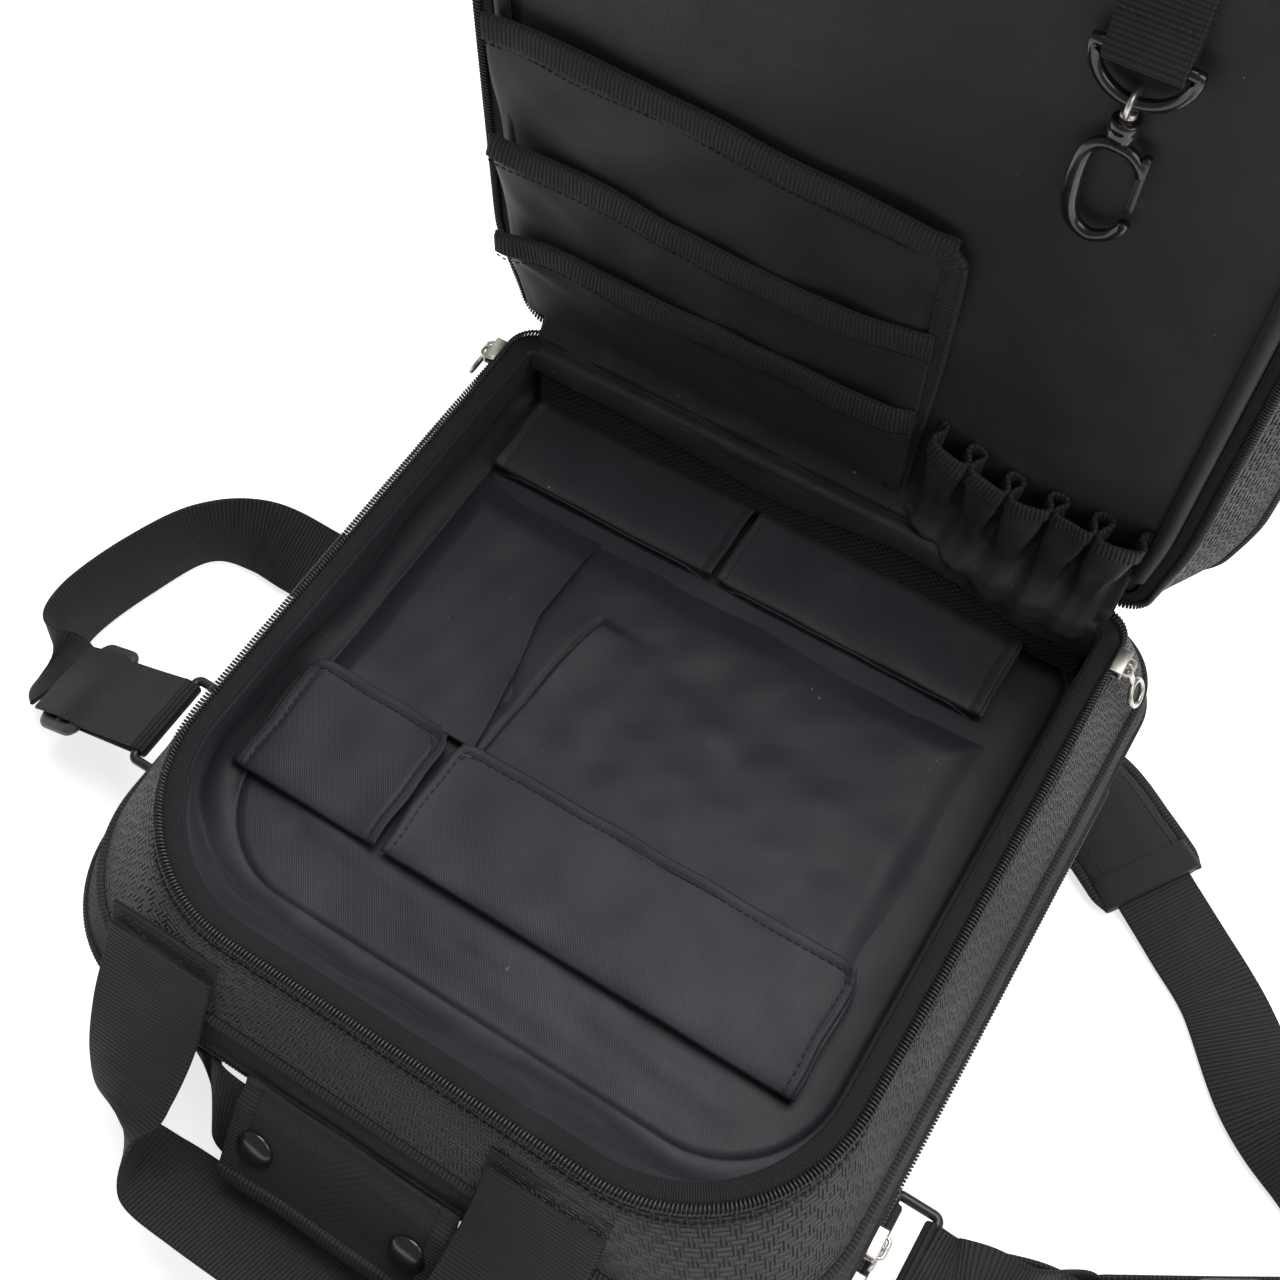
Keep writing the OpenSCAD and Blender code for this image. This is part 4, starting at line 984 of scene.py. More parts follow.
def block(name, middle, x, y, size, rounding):
    # a box with rounded edges, its sides along x, y and their normal
    x, y = unit(x), unit(y)
    z = np.cross(x, y)
    s = np.array([[i, j, k] for i in (-1, 1) for j in (-1, 1) for k in (-1, 1)]) / 2 * size
    p = np.asarray(middle, float) + s[:, :1] * x + s[:, 1:2] * y + s[:, 2:] * z
    faces = [[0, 1, 3, 2], [4, 6, 7, 5], [0, 4, 5, 1], [2, 3, 7, 6], [0, 2, 6, 4], [1, 5, 7, 3]]
    piece = makePiece(name, p, faces)
    bevel = piece.modifiers.new("round", "BEVEL")
    bevel.width = rounding * mm
    bevel.segments = 3
    return applied(piece)


def loopTube(name, middle, x, y, corner, size, wire, points=10, flat=1.0, steps=10):
    # a round or rounded-rectangle ring of wire in the plane of x and y
    reach = np.asarray(size, float) / 2 - corner
    turns = []
    for start, side in enumerate(((1, 1), (-1, 1), (-1, -1), (1, -1))):
        a = np.linspace(start, start + 1, steps) * math.pi / 2
        turns.append(reach * side + corner * np.stack([np.cos(a), np.sin(a)], -1))
    flatLine = np.concatenate(turns)
    flatLine = flatLine[np.linalg.norm(flatLine - np.roll(flatLine, 1, 0), axis=1) > 1e-6]
    x, y = unit(x), unit(y)
    path = np.asarray(middle, float) + flatLine[:, :1] * x + flatLine[:, 1:] * y
    return carry(name, path, np.cross(x, y), circleProfile(wire, points, flat), True)


clip = dict(wire=2.1, webbing=1.9)
ringLow, ringHigh = lidBox("key_ring")
keyX = (ringLow[0] + ringHigh[0]) / 2
keyS = ringHigh[1] - 2.5
keyZ = (ringLow[2] + ringHigh[2]) / 2
webLow, webHigh = lidBox("key_webbing")
faceZ = liningSize[2] + 1.3
tabStops = [[webHigh[1], faceZ], [webHigh[1] - 12, faceZ], [keyS + 7, faceZ - 0.1], [keyS, keyZ - 3.3],
            [keyS - 3.0, keyZ - 1.2], [keyS - 3.0, keyZ + 1.4], [keyS, keyZ + 3.3], [keyS + 7, keyZ + 1.4],
            [webHigh[1] - 12, keyZ - 1.2], [webHigh[1], keyZ - 1.4]]
tabWay = onLid(smoothLine([[keyX, s, z] for s, z in tabStops], 8))
finishPiece(carry("keyWebbing", tabWay, (1, 0, 0), roundProfile(webHigh[0] - webLow[0], clip["webbing"])),
            ribbed, "lid", ["key_webbing"])
for offset in (8, 13):
    sewn = np.linspace([keyX - 10.5, keyS + offset, keyZ + 1.0], [keyX + 10.5, keyS + offset, keyZ + 1.0],
                       16)
    finishPiece(stitches("keyStitches%d" % offset, onLid(sewn), lidIn, 2.4, 1.9, 0.7), thread, "lid")
a = np.linspace(0, -math.pi, 30)
arcR = (ringHigh[0] - ringLow[0]) / 2 - 2.5
dShape = np.concatenate([np.stack([keyX + arcR * np.cos(a), keyS + arcR * np.sin(a)], -1),
                         np.stack([np.linspace(keyX - arcR, keyX + arcR, 14)[1:-1], np.full(12, keyS)], -1)])
dWay = onLid(lift(dShape, keyZ))
finishPiece(carry("dRing", dWay, lidIn, circleProfile(clip["wire"], 12), True), enamel, "key_ring",
            ["key_ring"])
swLow, swHigh = lidBox("key_swivel")
hookLow, hookHigh = lidBox("key_hook")
eyeS = swHigh[1] - 4.4
downLid = lidWay((0, -1, 0))
postEnd = eyeS - swLow[1] - 3.2
eye = loopTube("swivelEye", onLid([keyX, eyeS, keyZ]), -downLid, lidIn, 3.4, (6.8, 6.8), 1.05, 10, 1.9)
post = turned("swivelPost", onLid([keyX, eyeS - 3.2, keyZ]), downLid,
              [(0, 0.6), (0.1, 2.6), (1.6, 2.6), (2.0, 1.9), (postEnd - 2.2, 1.9), (postEnd - 2.0, 3.1),
               (postEnd - 0.8, 3.1), (postEnd - 0.1, 1.6), (postEnd, 0.2)])
finishPiece(join("keySwivel", [eye, post]), zinc, "key_swivel", ["key_swivel"])
collar = turned("hookCollar", onLid([keyX, hookHigh[1], keyZ]), downLid,
                [(0, 2.2), (0.05, 4.0), (0.6, 4.6), (3.0, 4.7), (3.6, 4.3), (4.2, 4.7), (6.4, 4.5),
                 (8.6, 3.0), (9.2, 2.2)], 22)
hookR = (hookHigh[0] - 2.3 - hookLow[0] - 2.9) / 2 - 0.1
ovalX = hookLow[0] + 2.6 + hookR
ovalTop = hookHigh[1] - 7 - 3.4 - 2.4
oval = np.array([[-0.6, 2.4], [-5.2, 1.4], [-8.6, -3], [-9.6, -10], [-9.6, -18], [-8.8, -26], [-6, -32.5],
                 [-0.5, -35.6], [5.2, -33], [8.4, -28.5], [9.0, -25.5]])
ovalWay = smoothLine(oval * [hookR / 9.6, 0.94], 8)
side = np.linspace(0, 1, len(ovalWay))
thickness = 2.0 + 0.9 * np.exp(-((side - 0.42) / 0.26) ** 2)
prof = circleProfile(1, 12)[None] * thickness[:, None, None] * np.array([0.9, 1.0])
ovalMesh = carry("hookOval", onLid(lift(ovalWay + [ovalX, ovalTop], keyZ)), lidIn, prof)
crown = smoothLine(np.array([[-1.5, 2.2], [3.5, 1.6], [7.4, -1.4], [9.0, -4.6]]) * [hookR / 9.6, 1], 8)
crownMesh = carry("hookCrown", onLid(lift(crown + [ovalX, ovalTop], keyZ)), lidIn, circleProfile(2.1, 12))
finishPiece(join("keyHook", [collar, ovalMesh, crownMesh]), enamel, "key_hook", ["key_hook"])
gateLow, gateHigh = lidBox("hook_gate")
gateMid = (gateLow + gateHigh) / 2
gateEnds = onLid([[gateMid[0], gateHigh[1] - 1, keyZ], [gateMid[0] - 0.2, gateLow[1] + 0.5, keyZ]])
gate = carry("hookGate", evenly(gateEnds, 2), lidIn, circleProfile(1.6, 10))
finishPiece(gate, blackPlastic, "hook_gate", ["hook_gate"])
print("key clip done")

# zip sliders and pulls


def slider(node, pullNode, body, pullBody, out, along, hang):
    # two plates either side of the coil joined by a bridge, and a loop on the outer face that holds the pull;
    # its length, depth and height are the node's extents along the three directions
    low, high = box(node)
    middle = (low + high) / 2
    out, along = unit(out), unit(along)
    up = np.cross(out, along)
    length, deep, tall = (np.abs(high - low) @ np.abs(way) for way in (along, out, up))
    parts = []
    for face in (-1, 1):
        plate = middle + up * face * (tall / 2 - 0.7) - out
        parts.append(block(node + "Plate%d" % (face > 0), plate, out, along, (5.6, length - 1, 1.3), 0.6))
    parts.append(block(node + "Bridge", middle + out * 0.9, out, along, (1.8, length - 0.6, tall - 1.0),
                       0.6))
    parts.append(loopTube(node + "Loop", middle + out * (deep / 2 - 2.6), along, out, 2.0, (8.0, 5.2), 0.75,
                          8))
    finishPiece(join(node + "Body", parts), zinc, body, [node])
    low, high = box(pullNode)
    hang = unit(hang)
    top = (low + high) / 2 - hang * (np.abs(high - low) @ np.abs(hang) / 2 * 0.93 - 1.0)
    eyeRing = loopTube(pullNode + "Eye", top, hang, np.cross(along, hang), 1.4, (3.2, 2.8), 0.65, 8)
    tab = block(pullNode + "Tab", top + hang * 6.2, hang, along, (9.6, 3.4, 1.3), 0.5)
    ring = loopTube(pullNode + "Ring", top + hang * 16.0, hang, along, 5.0, (10.4, 10.4), 1.15, 10, 1.0, 14)
    finishPiece(join(pullNode + "Body", [eyeRing, tab, ring]), zinc, pullBody, [pullNode])


lean = math.atan2(pipeSize[0] - rimSize[0], gussetTop - pipeHigh[2])
for sign, word in ((-1, "left"), (1, "right")):
    slider("zip_slider_" + word, "zip_pull_" + word, "slider_" + word, "pull_" + word, (sign, 0, 0),
           (0, 1, 0), (sign * math.sin(lean), 0, -math.cos(lean)))
for word in "ab":
    slider("rear_slider_" + word, "rear_pull_" + word, "rear_slider_" + word, "rear_pull_" + word, (1, 0, 0),
           (0, 1, 0), (0, 0, -1))
print("sliders done")

# carry handles

grip = dict(thick=2.2, width=48.0)
frontHigh = box("handle_front")[1]
patchLow, patchHigh = box("handle_patches")
handleX = (patchLow[0] + patchHigh[0]) / 2
seamY, seamZ = frontHigh[1] - 1.2, frontHigh[2] - 1.0
leg = [(84, 2, 3, (1, 0, 0)), (84, -6, -9, (1, 0, 0)), (83, -19, -24, (1, 0, 0)),
       (81, -37, -41, (0.96, 0.2, -0.15)), (76, -50, -52, (0.8, 0.42, -0.4)),
       (60, -57, -63, (0.4, 0.64, -0.62)), (32, -58, -66.5, (0.05, 0.72, -0.7))]
stops = [((handleX - a, seamY + b, seamZ + c), (-w[0], w[1], w[2])) for a, b, c, w in leg]
stops.append(((handleX, seamY - 58, seamZ - 67), (0, 0.72, -0.7)))
stops += [((handleX + a, seamY + b, seamZ + c), w) for a, b, c, w in leg[::-1]]
finishPiece(webbing("frontHandle", stops, grip["width"], grip["thick"], 16), ribbed, "handle_front",
            ["handle_front"])
xWay = np.array([1.0, 0, 0])
slopeDown = unit([0, rimSize[1] - pipeSize[1], pipeHigh[2] - gussetTop])
facing = np.cross(xWay, slopeDown)
facing = facing if facing[1] < 0 else -facing
patches, sewnPatches = [], []
for index, sign in enumerate((-1, 1)):
    middle = np.array([handleX + sign * 84, (patchLow[1] + patchHigh[1]) / 2,
                       (patchLow[2] + patchHigh[2]) / 2])
    way = evenly([middle - slopeDown * 11.5, middle + slopeDown * 11.5], 2)
    patches.append(carry("patch%d" % index, way, xWay, roundProfile(50, 1.3, 4)))
    corners = [middle + facing * 0.8 + xWay * a + slopeDown * b for a, b in
               ((-20, -8), (20, -8), (20, 7), (-20, 7), (-20, -8), (20, 7), (-20, 7), (20, -8))]
    sewnPatches.append(stitches("patchSewn%d" % index, evenly(corners, 1.0), facing, 3.2, 2.2, 0.6))
finishPiece(join("handlePatches", patches), ribbed, "pack", ["handle_patches"])
finishPiece(join("patchStitches", sewnPatches), thread, "pack")

rearHandleLow, rearHandleHigh = box("handle_rear")
wrapLow, wrapHigh = box("handle_wrap")
wrapX = (wrapLow[0] + wrapHigh[0]) / 2
wrapY, wrapZ = (wrapLow[1] + wrapHigh[1]) / 2, (wrapLow[2] + wrapHigh[2]) / 2
tilt = math.radians(34)
lean = np.array([0, math.sin(tilt), math.cos(tilt)])
outward = np.array([0, -math.cos(tilt), math.sin(tilt)])
sewnZ = rearHandleLow[2] + 19
wallY = rearHandleHigh[1] - 4.6
flatWay = (0, -0.17, 1)
rearStops = [((wrapX - 98, wallY, sewnZ), flatWay), ((wrapX - 82, wallY - 0.8, sewnZ), flatWay),
             ((wrapX - 68, wallY - 9, sewnZ + 2), (0, 0.2, 1)), ((wrapX - 52, wrapY, wrapZ), lean),
             ((wrapX, wrapY, wrapZ), lean), ((wrapX + 52, wrapY, wrapZ), lean),
             ((wrapX + 68, wallY - 9, sewnZ + 2), (0, 0.2, 1)), ((wrapX + 82, wallY - 0.8, sewnZ), flatWay),
             ((wrapX + 98, wallY, sewnZ), flatWay)]
finishPiece(webbing("rearHandle", rearStops, 38, 2.2, 14), ribbed, "handle_rear", ["handle_rear"])


def swell(piece, size, pressure, cap, across):
    # an inflated cloth: remeshed, blown up for twenty frames, and no point moved further than cap. Its new uv is
    # the distance along x and along the second direction
    remesh = piece.modifiers.new("remesh", "REMESH")
    remesh.mode = "VOXEL"
    remesh.voxel_size = size * mm
    applied(piece)
    rest = readMesh(piece.data.vertices, "co", 3)
    soft = piece.modifiers.new("cloth", "CLOTH")
    soft.settings.use_pressure = True
    soft.settings.uniform_pressure_force = pressure
    soft.settings.effector_weights.gravity = 0
    soft.point_cache.frame_start = 1
    soft.point_cache.frame_end = 20
    for number in range(1, 21):
        bpy.context.scene.frame_set(number)
    applied(piece)
    bpy.context.scene.frame_set(1)
    shift = readMesh(piece.data.vertices, "co", 3) - rest
    far = np.linalg.norm(shift, axis=1, keepdims=True)
    shift *= np.minimum(1, cap * mm / np.maximum(far, 1e-9))
    piece.data.vertices.foreach_set("co", (rest + shift).ravel())
    smooth = piece.modifiers.new("smooth", "SUBSURF")
    smooth.levels = smooth.render_levels = 1
    applied(piece)
    mesh = piece.data
    mesh.polygons.foreach_set("use_smooth", [True] * len(mesh.polygons))
    points = readMesh(mesh.vertices, "co", 3)[readMesh(mesh.loops, "vertex_index", 1, int)]
    setCloth(mesh, np.stack([points[:, 0], points @ np.asarray(across, float)], -1))
    return piece


wrapSize = dict(length=94.0, thick=8.4, height=41.0)
wrapWay = np.linspace([wrapX - wrapSize["length"] / 2, wrapY, wrapZ],
                      [wrapX + wrapSize["length"] / 2, wrapY, wrapZ], 40)
wrapPiece = carry("wrapPad", wrapWay, lean, roundProfile(wrapSize["height"], wrapSize["thick"], 9))
swell(wrapPiece, 4.0, 4.0, 1.2, lean)
finishPiece(wrapPiece, panelNylon, "handle_rear", ["handle_wrap"])
flapLow, flapHigh = box("wrap_flap")
flapX = np.linspace(flapLow[0] - 1, flapHigh[0] + 1, 60)
flapV = np.linspace(-22, 26, 30)
gx, gv = np.meshgrid(flapX, flapV)
p = np.stack([gx, gv], -1)
bulge = 5.4 + 0.6 * waves(p, 121, 40) - 3.2 * ease((gv - 15) / 9) + 0.8 * np.exp(-(gv + 22) / 4)
grid = (np.array([0, wrapY, wrapZ]) + gx[..., None] * [1, 0, 0] + gv[..., None] * lean
        + bulge[..., None] * outward)
finishPiece(cloth("wrapFlap", grid, 1.4), panelNylon, "wrap_flap", ["wrap_flap"])
edgeBands = []
for index, col in enumerate((0, -1)):
    way = grid[:, col] + xWay * (3 if col == 0 else -3)
    edgeBands.append(carry("wrapBand%d" % index, way, xWay, roundProfile(8, 2.8)))
edgeBands.append(carry("wrapBandLow", grid[0] + lean * 3, lean, roundProfile(7, 2.8)))
finishPiece(join("wrapBinding", edgeBands), binding, "wrap_flap")
studShape = [(0, 7.9), (0.5, 8.2), (1.0, 8.2), (1.5, 7.9), (2.0, 7.3), (2.5, 6.4), (2.9, 5.2), (3.2, 3.6),
             (3.35, 1.8), (3.4, 0.1)]
studs = []
for index, sign in enumerate((-1, 1)):
    middle = np.array([wrapX + sign * 35, wrapY, wrapZ]) + outward * 5.6
    studs.append(turned("stud%d" % index, middle, outward, studShape, 48))
finishPiece(join("pressStuds", studs), enamel, "wrap_flap", ["press_studs"])
print("handles done")

# rings, straps and the shoulder pad

strapLook = dict(width=38.0, thick=2.1, wire=2.1, slope=27.0, turn=31.0)
ringLowAll, ringHighAll = box("strap_rings")
leftEnd, rightEnd = box("strap_end_left"), box("strap_end_right")
leftBar = np.array([ringLowAll[0] + 2.8, (leftEnd[0][1] + leftEnd[1][1]) / 2, ringHighAll[2] - 2.8])
rightBar = np.array([ringHighAll[0] - 2.8, (rightEnd[0][1] + ringLowAll[1] + 5.8 + 19) / 2, ringLowAll[2] + 2.8])
ringMeshes, tabs = [], []
for word, sign, outBar in (("left", -1, leftBar), ("right", 1, rightBar)):
    ringMeshes.append(loopTube("ring" + word, outBar - xWay * sign * 9, (1, 0, 0), (0, 1, 0), 2.4, (18, 44),
                               strapLook["wire"], 12, 1.0, 6))
    bar = outBar - xWay * sign * 18
    wallX = bar[0] - sign * 4.2
    bends = [[wallX, 9], [wallX + sign * 0.4, 4], [bar[0] + sign * 1.4, 3.6], [bar[0] + sign * 3.4, 0.6],
             [bar[0] + sign * 1.8, -3.2], [wallX + sign * 0.8, -3.6], [wallX, -6]]
    way = smoothLine([[x, bar[1], bar[2] + z] for x, z in bends], 7)
    tabs.append(carry("tab" + word, way, (0, 1, 0), roundProfile(36, 1.8, 4)))
finishPiece(join("strapRings", ringMeshes), blackPlastic, "pack", ["strap_rings"])
finishPiece(join("ringTabs", tabs), ribbed, "pack", ["ring_tabs"])


def triGlide(name, middle, along, across):
    # an adjuster: a flat frame whose two wide ends hold the webbing, with a bar across its middle
    along, across = unit(along), unit(across)
    frameMesh = loopTube(name + "Frame", middle, along, across, 4.0, (23, 43), 2.4, 12, 1.35, 6)
    bar = carry(name + "Bar", evenly([middle - across * 21, middle + across * 21], 3), along,
                circleProfile(1.9, 10, 1.2))
    return join(name, [frameMesh, bar])


slope = math.radians(strapLook["slope"])
leftDown = np.array([-math.cos(slope), 0, -math.sin(slope)])
leftNormal = np.array([-math.sin(slope), 0, math.cos(slope)])
reach = 78.0
yWay = np.array([0, 1.0, 0])
folded = [(reach, 3.4), (63, 4.6), (54, 4.6), (40, 2.38), (8, 3.06), (0, 3.4), (-3.4, 0), (0, -3.4),
          (8, -3.06), (40, -2.38), (58, -2.38), (reach, -3.06)]
foldedWay = smoothLine([leftBar + leftDown * a + leftNormal * b for a, b in folded], 7)
webProfile = roundProfile(strapLook["width"], 2.0)
finishPiece(carry("strapEndLeft", foldedWay, yWay, webProfile), ribbed, "pack",
            ["strap_end_left"])
glideLeft = triGlide("glideLeft", leftBar + leftDown * 60 + leftNormal * 0.2, leftDown, yWay)
turnAngle = math.radians(strapLook["turn"])
adjuster = np.array([rightBar[0] + 69.8, rightBar[1] + 38, 24.0])
farWay = np.array([math.cos(turnAngle), math.sin(turnAngle), 0])
farSide = np.array([math.sin(turnAngle), -math.cos(turnAngle), 0])
upWay = np.array([0, 0, 1.0])
ends = []
for side in (-1, 1):
    apart = farSide * side * 2.8
    lay = [(rightBar + [0, 0, side * 3.4], (0, 1, 0)), (rightBar + [12, 0, side * 3.3], (0, 1, 0)),
           (rightBar + [22, 4, -2 + side * 2.6], (0, 0.94, 0.3)),
           (rightBar + [38, 14 - side * 1.8, -10 + side * 1.6], (0, 0.6, 0.8)),
           (adjuster - [14, 8.4, 0] - farSide * side * 2.6, upWay), (adjuster - apart, upWay),
           (adjuster + farWay * 30 - apart, upWay),
           (adjuster + farWay * (57 if side > 0 else 52) - farSide * side * 3.0, upWay)]
    ends.append(webbing("rightLay%d" % (side > 0), lay, strapLook["width"], 2.0, 10))
a = np.linspace(-math.pi / 2, math.pi / 2, 12)
turnBack = rightBar + np.stack([-3.4 * np.cos(a), 0 * a, 3.4 * np.sin(a)], -1)
ends.append(carry("rightTurn", turnBack, yWay, webProfile))
finishPiece(join("strapEndRight", ends), ribbed, "pack", ["strap_end_right"])
glideRight = triGlide("glideRight", adjuster + farWay * 38, farWay, upWay)
finishPiece(join("triGlides", [glideLeft, glideRight]), grayPlastic, "pack", ["tri_glides"])

leftStart = leftBar + leftDown * (reach + 1.5)
fx, fy = leftStart[0], leftStart[1]
leftStops = [((fx, fy, leftStart[2]), (0, 1, 0)), ((fx - 17.2, fy + 9, 21.5), (-0.35, 0.85, 0.4)),
             ((fx - 24.2, fy + 33, 20.6), (-0.2, 0.3, 0.9)), ((fx - 16.2, fy + 69, 20.2), (-0.25, 0, 0.97)),
             ((fx - 2.2, fy + 99, 20), (-0.2, 0.1, 0.97)), ((fx + 21.8, fy + 114, 16.4), (-0.2, 0.6, 0.7)),
             ((fx + 54.8, fy + 119, 8.4), (-0.15, 0.96, 0.24)), ((-170, 52, 2.5), (-0.26, 0.96, 0)),
             ((-120, 65, 1.4), (-0.26, 0.96, 0)), ((-76, 76.5, 1.4), (-0.26, 0.96, 0))]
finishPiece(webbing("strapLeft", leftStops, strapLook["width"], strapLook["thick"], 16), ribbed, "pack",
            ["strap_webbing_left"])
ax, ay, az = adjuster
rightStops = [((200.5, 106.5, 5.7), (0.55, 0.84, 0)), ((228, 89, 2.4), (0.55, 0.84, 0)),
              ((ax - 3, 71, 2.2), (0.6, 0.8, 0)), ((ax + 24, ay + 105, az - 15.4), (0.62, 0.72, 0.3)),
              ((ax + 50, ay + 82, az - 7), (0.4, 0.4, 0.75)), ((ax + 70, ay + 60, az - 4), (0.1, 0.1, 0.97)),
              ((ax + 78, ay + 42, az - 4), (0, 0, 1)), ((ax + 71, ay + 34, az - 3), (0, 0, 1)),
              ((ax + 58, ay + 32, az - 1.5), (0, 0, 1)), ((ax + 48.7, ay + 29.2, az), (0, 0, 1))]
finishPiece(webbing("strapRight", rightStops, strapLook["width"], strapLook["thick"], 16), ribbed, "pack",
            ["strap_webbing_right"])

padShape = dict(width=52.0, thick=9.4, crease=2.2)
padStops = [((-75, 77, 5.6), (-0.26, 0.96, 0)), ((0, 96.5, 5.6), (-0.26, 0.96, 0)),
            ((80, 118, 5.6), (-0.26, 0.96, 0)), ((130, 131, 5.6), (-0.15, 0.98, 0)),
            ((160, 130, 5.6), (0.3, 0.94, 0)), ((184, 117, 5.6), (0.55, 0.84, 0)),
            ((206, 103, 5.6), (0.55, 0.84, 0))]
padWay = smoothLine([s[0] for s in padStops], 14)
padAcross = smoothLine([s[1] for s in padStops], 14)
a = np.linspace(0, 2 * math.pi, 44, endpoint=False)
flatness = np.sign(np.sin(a)) * np.abs(np.sin(a)) ** 0.75
ends = np.linspace(0, 1, len(padWay))
full = ease(ends * 14) * ease((1 - ends) * 14)
half = padShape["width"] / 2 * (0.9 + 0.1 * full)
xs = np.cos(a)[None] * half[:, None]
dent = padShape["crease"] * np.exp(-(np.cos(a) / 0.13) ** 2)[None] * ease((1 - ends) * 8)[:, None]
ys = flatness * (padShape["thick"] / 2 * (0.45 + 0.55 * full))[:, None] - np.sign(np.sin(a)) * dent
padPiece = carry("shoulderPad", padWay, padAcross, np.stack([xs, ys], -1))
swell(padPiece, 4.0, 4.0, 0.8, (0, 1, 0))
finishPiece(padPiece, panelNylon, "pack", ["shoulder_pad"])
edgeLines = []
for sign in (-1, 1):
    edgeWay = padWay + unit(padAcross) * (half - 0.6)[:, None] * sign
    edgeLines.append(carry("padEdge%d" % (sign > 0), edgeWay, padAcross, roundProfile(5.0, 3.6, 5)))
finishPiece(join("padBinding", edgeLines), binding, "pack")
seams = []
for offset in (-18, 18):
    line = padWay + unit(padAcross) * offset
    line[:, 2] = 5.6 + padShape["thick"] / 2 * 0.93 - 0.3
    seams.append(stitches("padSeam%d" % offset, line[6:-4], (0, 0, 1), 3.2, 2.3, 0.8))
finishPiece(join("padSeams", seams), thread, "pack")
endCap = padWay[-9:] + np.array([0, 0, 0.6])
finishPiece(carry("padEnd", endCap, padAcross[-9:], roundProfile(50, 9.8, 9)), panelNylon, "pack")
print("straps done")

# back pads, and the pieces kept from the CAD

padsLow, padsHigh = box("back_pads")


def backPad(name, corners):
    # a foam pad: crowned closed form, flat where it rests, its sides drawn in at the seam
    middle = np.mean(corners, 0)
    loopLine = evenly(corners, 4, True)
    for _ in range(6):
        loopLine = (np.roll(loopLine, 1, 0) + loopLine * 2 + np.roll(loopLine, -1, 0)) / 4
    top = padsHigh[2] + 0.2
    levels = [(top, 0.96), (top - 2.5, 0.995), (top / 2, 1.0), (2.4, 0.985), (0.8, 0.95), (0.15, 0.9),
              (0.15, 0.675), (0.15, 0.45), (0.15, 0.225), (0.15, 0.018)]
    p = np.array([lift(middle + (loopLine - middle) * scale, z) for z, scale in levels[::-1]])
    rows, cols = p.shape[:2]
    faces = gridFaces(rows, cols, True).tolist() + endFaces(rows, cols)
    return makePiece(name, p, faces, p.reshape(-1, 3)[np.concatenate(faces)][:, :2])


x0, y0, x1, y1 = padsLow[0], padsLow[1], padsHigh[0], padsHigh[1]


def rectangle(ax, ay, bx, by):
    # the four corners between two opposite ones
    return [(ax, ay), (bx, ay), (bx, by), (ax, by)]


# the fifth pad's near side leans along the strap that passes it
farSlope, farStart = 0.264, 84
pads = [rectangle(x0, y0, x1, y0 + 62), rectangle(-62, y0 + 68, 62, 24), rectangle(x0, y0 + 68, -68, 16),
        rectangle(68, y0 + 68, x1, 24),
        [(x0 + 2, farStart + farSlope * (x0 + 167)), (-26, farStart + farSlope * 139), (-26, y1), (x0 + 2, y1)]]
made = [swell(backPad("backPad%d" % index, corners), 5.0, 4.0, 1.0, (0, 1, 0))
        for index, corners in enumerate(pads)]
allPads = join("backPads", made)
finishPiece(allPads, meshCloth, "pack", ["back_pads"])


def dress(node, material):
    # a CAD node that is shown as it is, with a cloth map laid on from its own faces
    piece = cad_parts[node]
    mesh = piece.data
    mesh.materials.clear()
    mesh.materials.append(material)
    normals = np.abs(readMesh(mesh.polygons, "normal", 3))
    axis = np.repeat(normals.argmax(1), readMesh(mesh.polygons, "loop_total", 1, int))
    points = readMesh(mesh.vertices, "co", 3)[readMesh(mesh.loops, "vertex_index", 1, int)]
    setCloth(mesh, np.take_along_axis(points, np.array([[1, 2], [0, 2], [0, 1]])[axis], 1))


for node, material, slotName in (("floor_board", foamStuff, "foam"), ("lid_foam", foamStuff, "foam"),
                                 ("hinge_strip", ribbed, "webbing"),
                                 ("stowed_harness_left", panelNylon, "nylon"),
                                 ("stowed_harness_right", panelNylon, "nylon"),
                                 ("harness_buckles", blackPlastic, "plastic")):
    dress(node, material)
# each cloth across the hinge, listed with a start and an end measured from the hinge, has its place baked into
# its points
for piece, start, end in ((innerHinge, (-9, -16), (-0.5, 0.5)), (penLoops, (-14, -18), (-8, 9)),
                          (droopHinge, (-12, -22), (-4, 6)), (outerHinge, (1, -6), (8, 0.5))):
    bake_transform(piece)
print("pads and kept pieces done")

# stage, light and camera

stageLook = dict(glow=0.72, sky=0.22, key=31.0, fill=5.0, rim=3.0, half=3000, under=0.3)
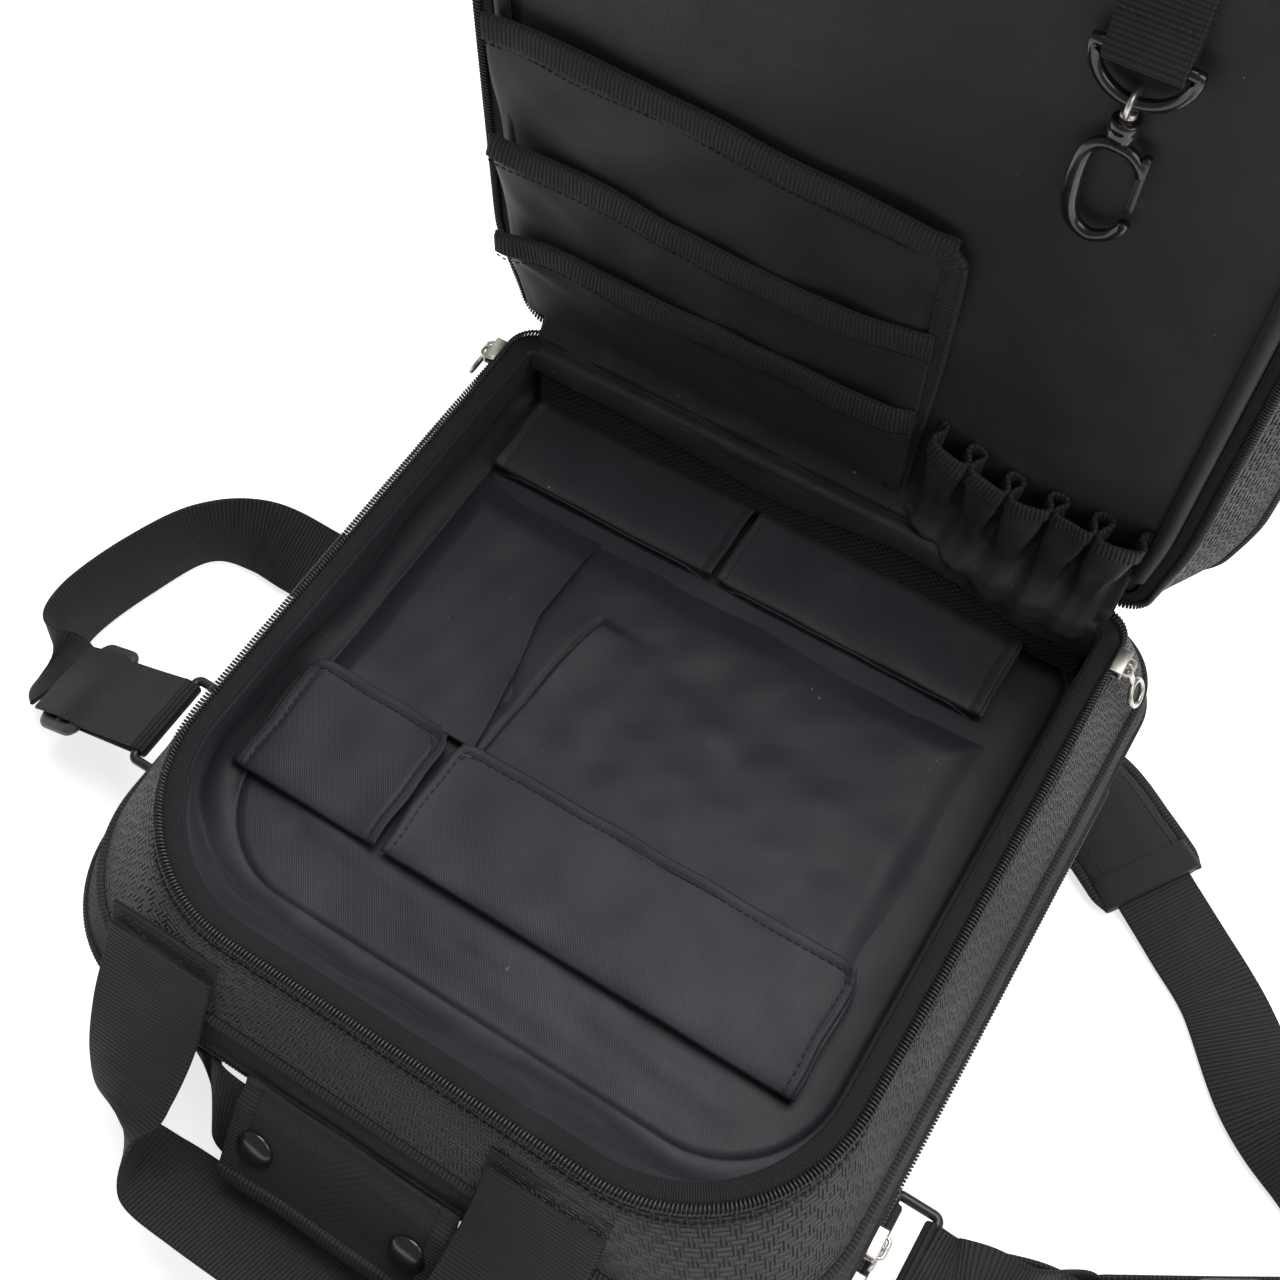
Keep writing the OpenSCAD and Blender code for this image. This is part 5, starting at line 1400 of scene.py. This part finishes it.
# a sheet that takes shadows from lights but shows plain white to the camera
half, under = stageLook["half"], stageLook["under"]
floorMesh = makePiece("studioFloor", [[-half, -half, -under], [half, -half, -under], [half, half, -under],
                                      [-half, half, -under]], [[0, 1, 2, 3]])
material, tree, shader = build("studioFloor")
shader.inputs["Base Color"].default_value = (0.8, 0.8, 0.8, 1)
shader.inputs["Roughness"].default_value = 0.9
floorMesh.data.materials.append(material)
output = [n for n in tree.nodes if n.type == "OUTPUT_MATERIAL"][0]
rays = put(tree, "ShaderNodeLightPath")
direct = calc(tree, "MAXIMUM", rays.outputs["Is Camera Ray"], calc(
    tree, "MAXIMUM", rays.outputs["Is Glossy Ray"], rays.outputs["Is Transmission Ray"]))
glow = put(tree, "ShaderNodeEmission", {"Color": (1, 1, 1, 1),
                                        "Strength": calc(tree, "MULTIPLY", direct, stageLook["glow"])})
both = put(tree, "ShaderNodeAddShader", {0: shader.outputs[0], 1: glow.outputs[0]})
tree.links.new(both.outputs[0], output.inputs["Surface"])
world = bpy.data.worlds.new("studio")
bpy.context.scene.world = world
world.use_nodes = True
tree = world.node_tree
back = tree.nodes["Background"]
back.inputs["Color"].default_value = (1, 1, 1, 1)
rays = put(tree, "ShaderNodeLightPath")
seen = calc(tree, "MAXIMUM", rays.outputs["Is Camera Ray"], rays.outputs["Is Transmission Ray"])
sky = calc(tree, "MULTIPLY_ADD", seen, 1.0 - stageLook["sky"], stageLook["sky"])
tree.links.new(sky, back.inputs["Strength"])


def areaLight(name, at, toward, size, watts):
    # a rectangular light that looks from at towards toward
    data = bpy.data.lights.new(name, "AREA")
    data.shape = "RECTANGLE"
    data.size, data.size_y = size
    data.energy = watts
    lamp = bpy.data.objects.new(name, data)
    bpy.context.collection.objects.link(lamp)
    lamp.location = at
    lamp.rotation_euler = (Vector(toward) - Vector(at)).to_track_quat("-Z", "Y").to_euler()


areaLight("keyLight", (0.12, 0.6, 1.8), (0.0, -0.05, 0.1), (1.3, 1.3), stageLook["key"])
areaLight("fillLight", (1.1, -0.2, 1.1), (-0.1, 0.0, 0.1), (0.8, 0.8), stageLook["fill"])
areaLight("rimLight", (-0.6, 1.3, 1.3), (0, 0.1, 0.15), (1.2, 0.7), stageLook["rim"])

camera = bpy.data.cameras.new("camera")
camera.lens = 45.5
camera.sensor_width = 36
shot = bpy.data.objects.new("camera", camera)
bpy.context.collection.objects.link(shot)
spot, target = Vector((0.1486, -0.2387, 0.6809)), Vector((-0.0167, 0.0300, 0.1300))
shot.matrix_world = (Matrix.Translation(spot) @ (target - spot).to_track_quat("-Z", "Y").to_matrix().to_4x4()
                     @ Matrix.Rotation(math.radians(0.3), 4, "Z"))
bpy.context.scene.camera = shot
bpy.context.scene.view_settings.view_transform = "Standard"
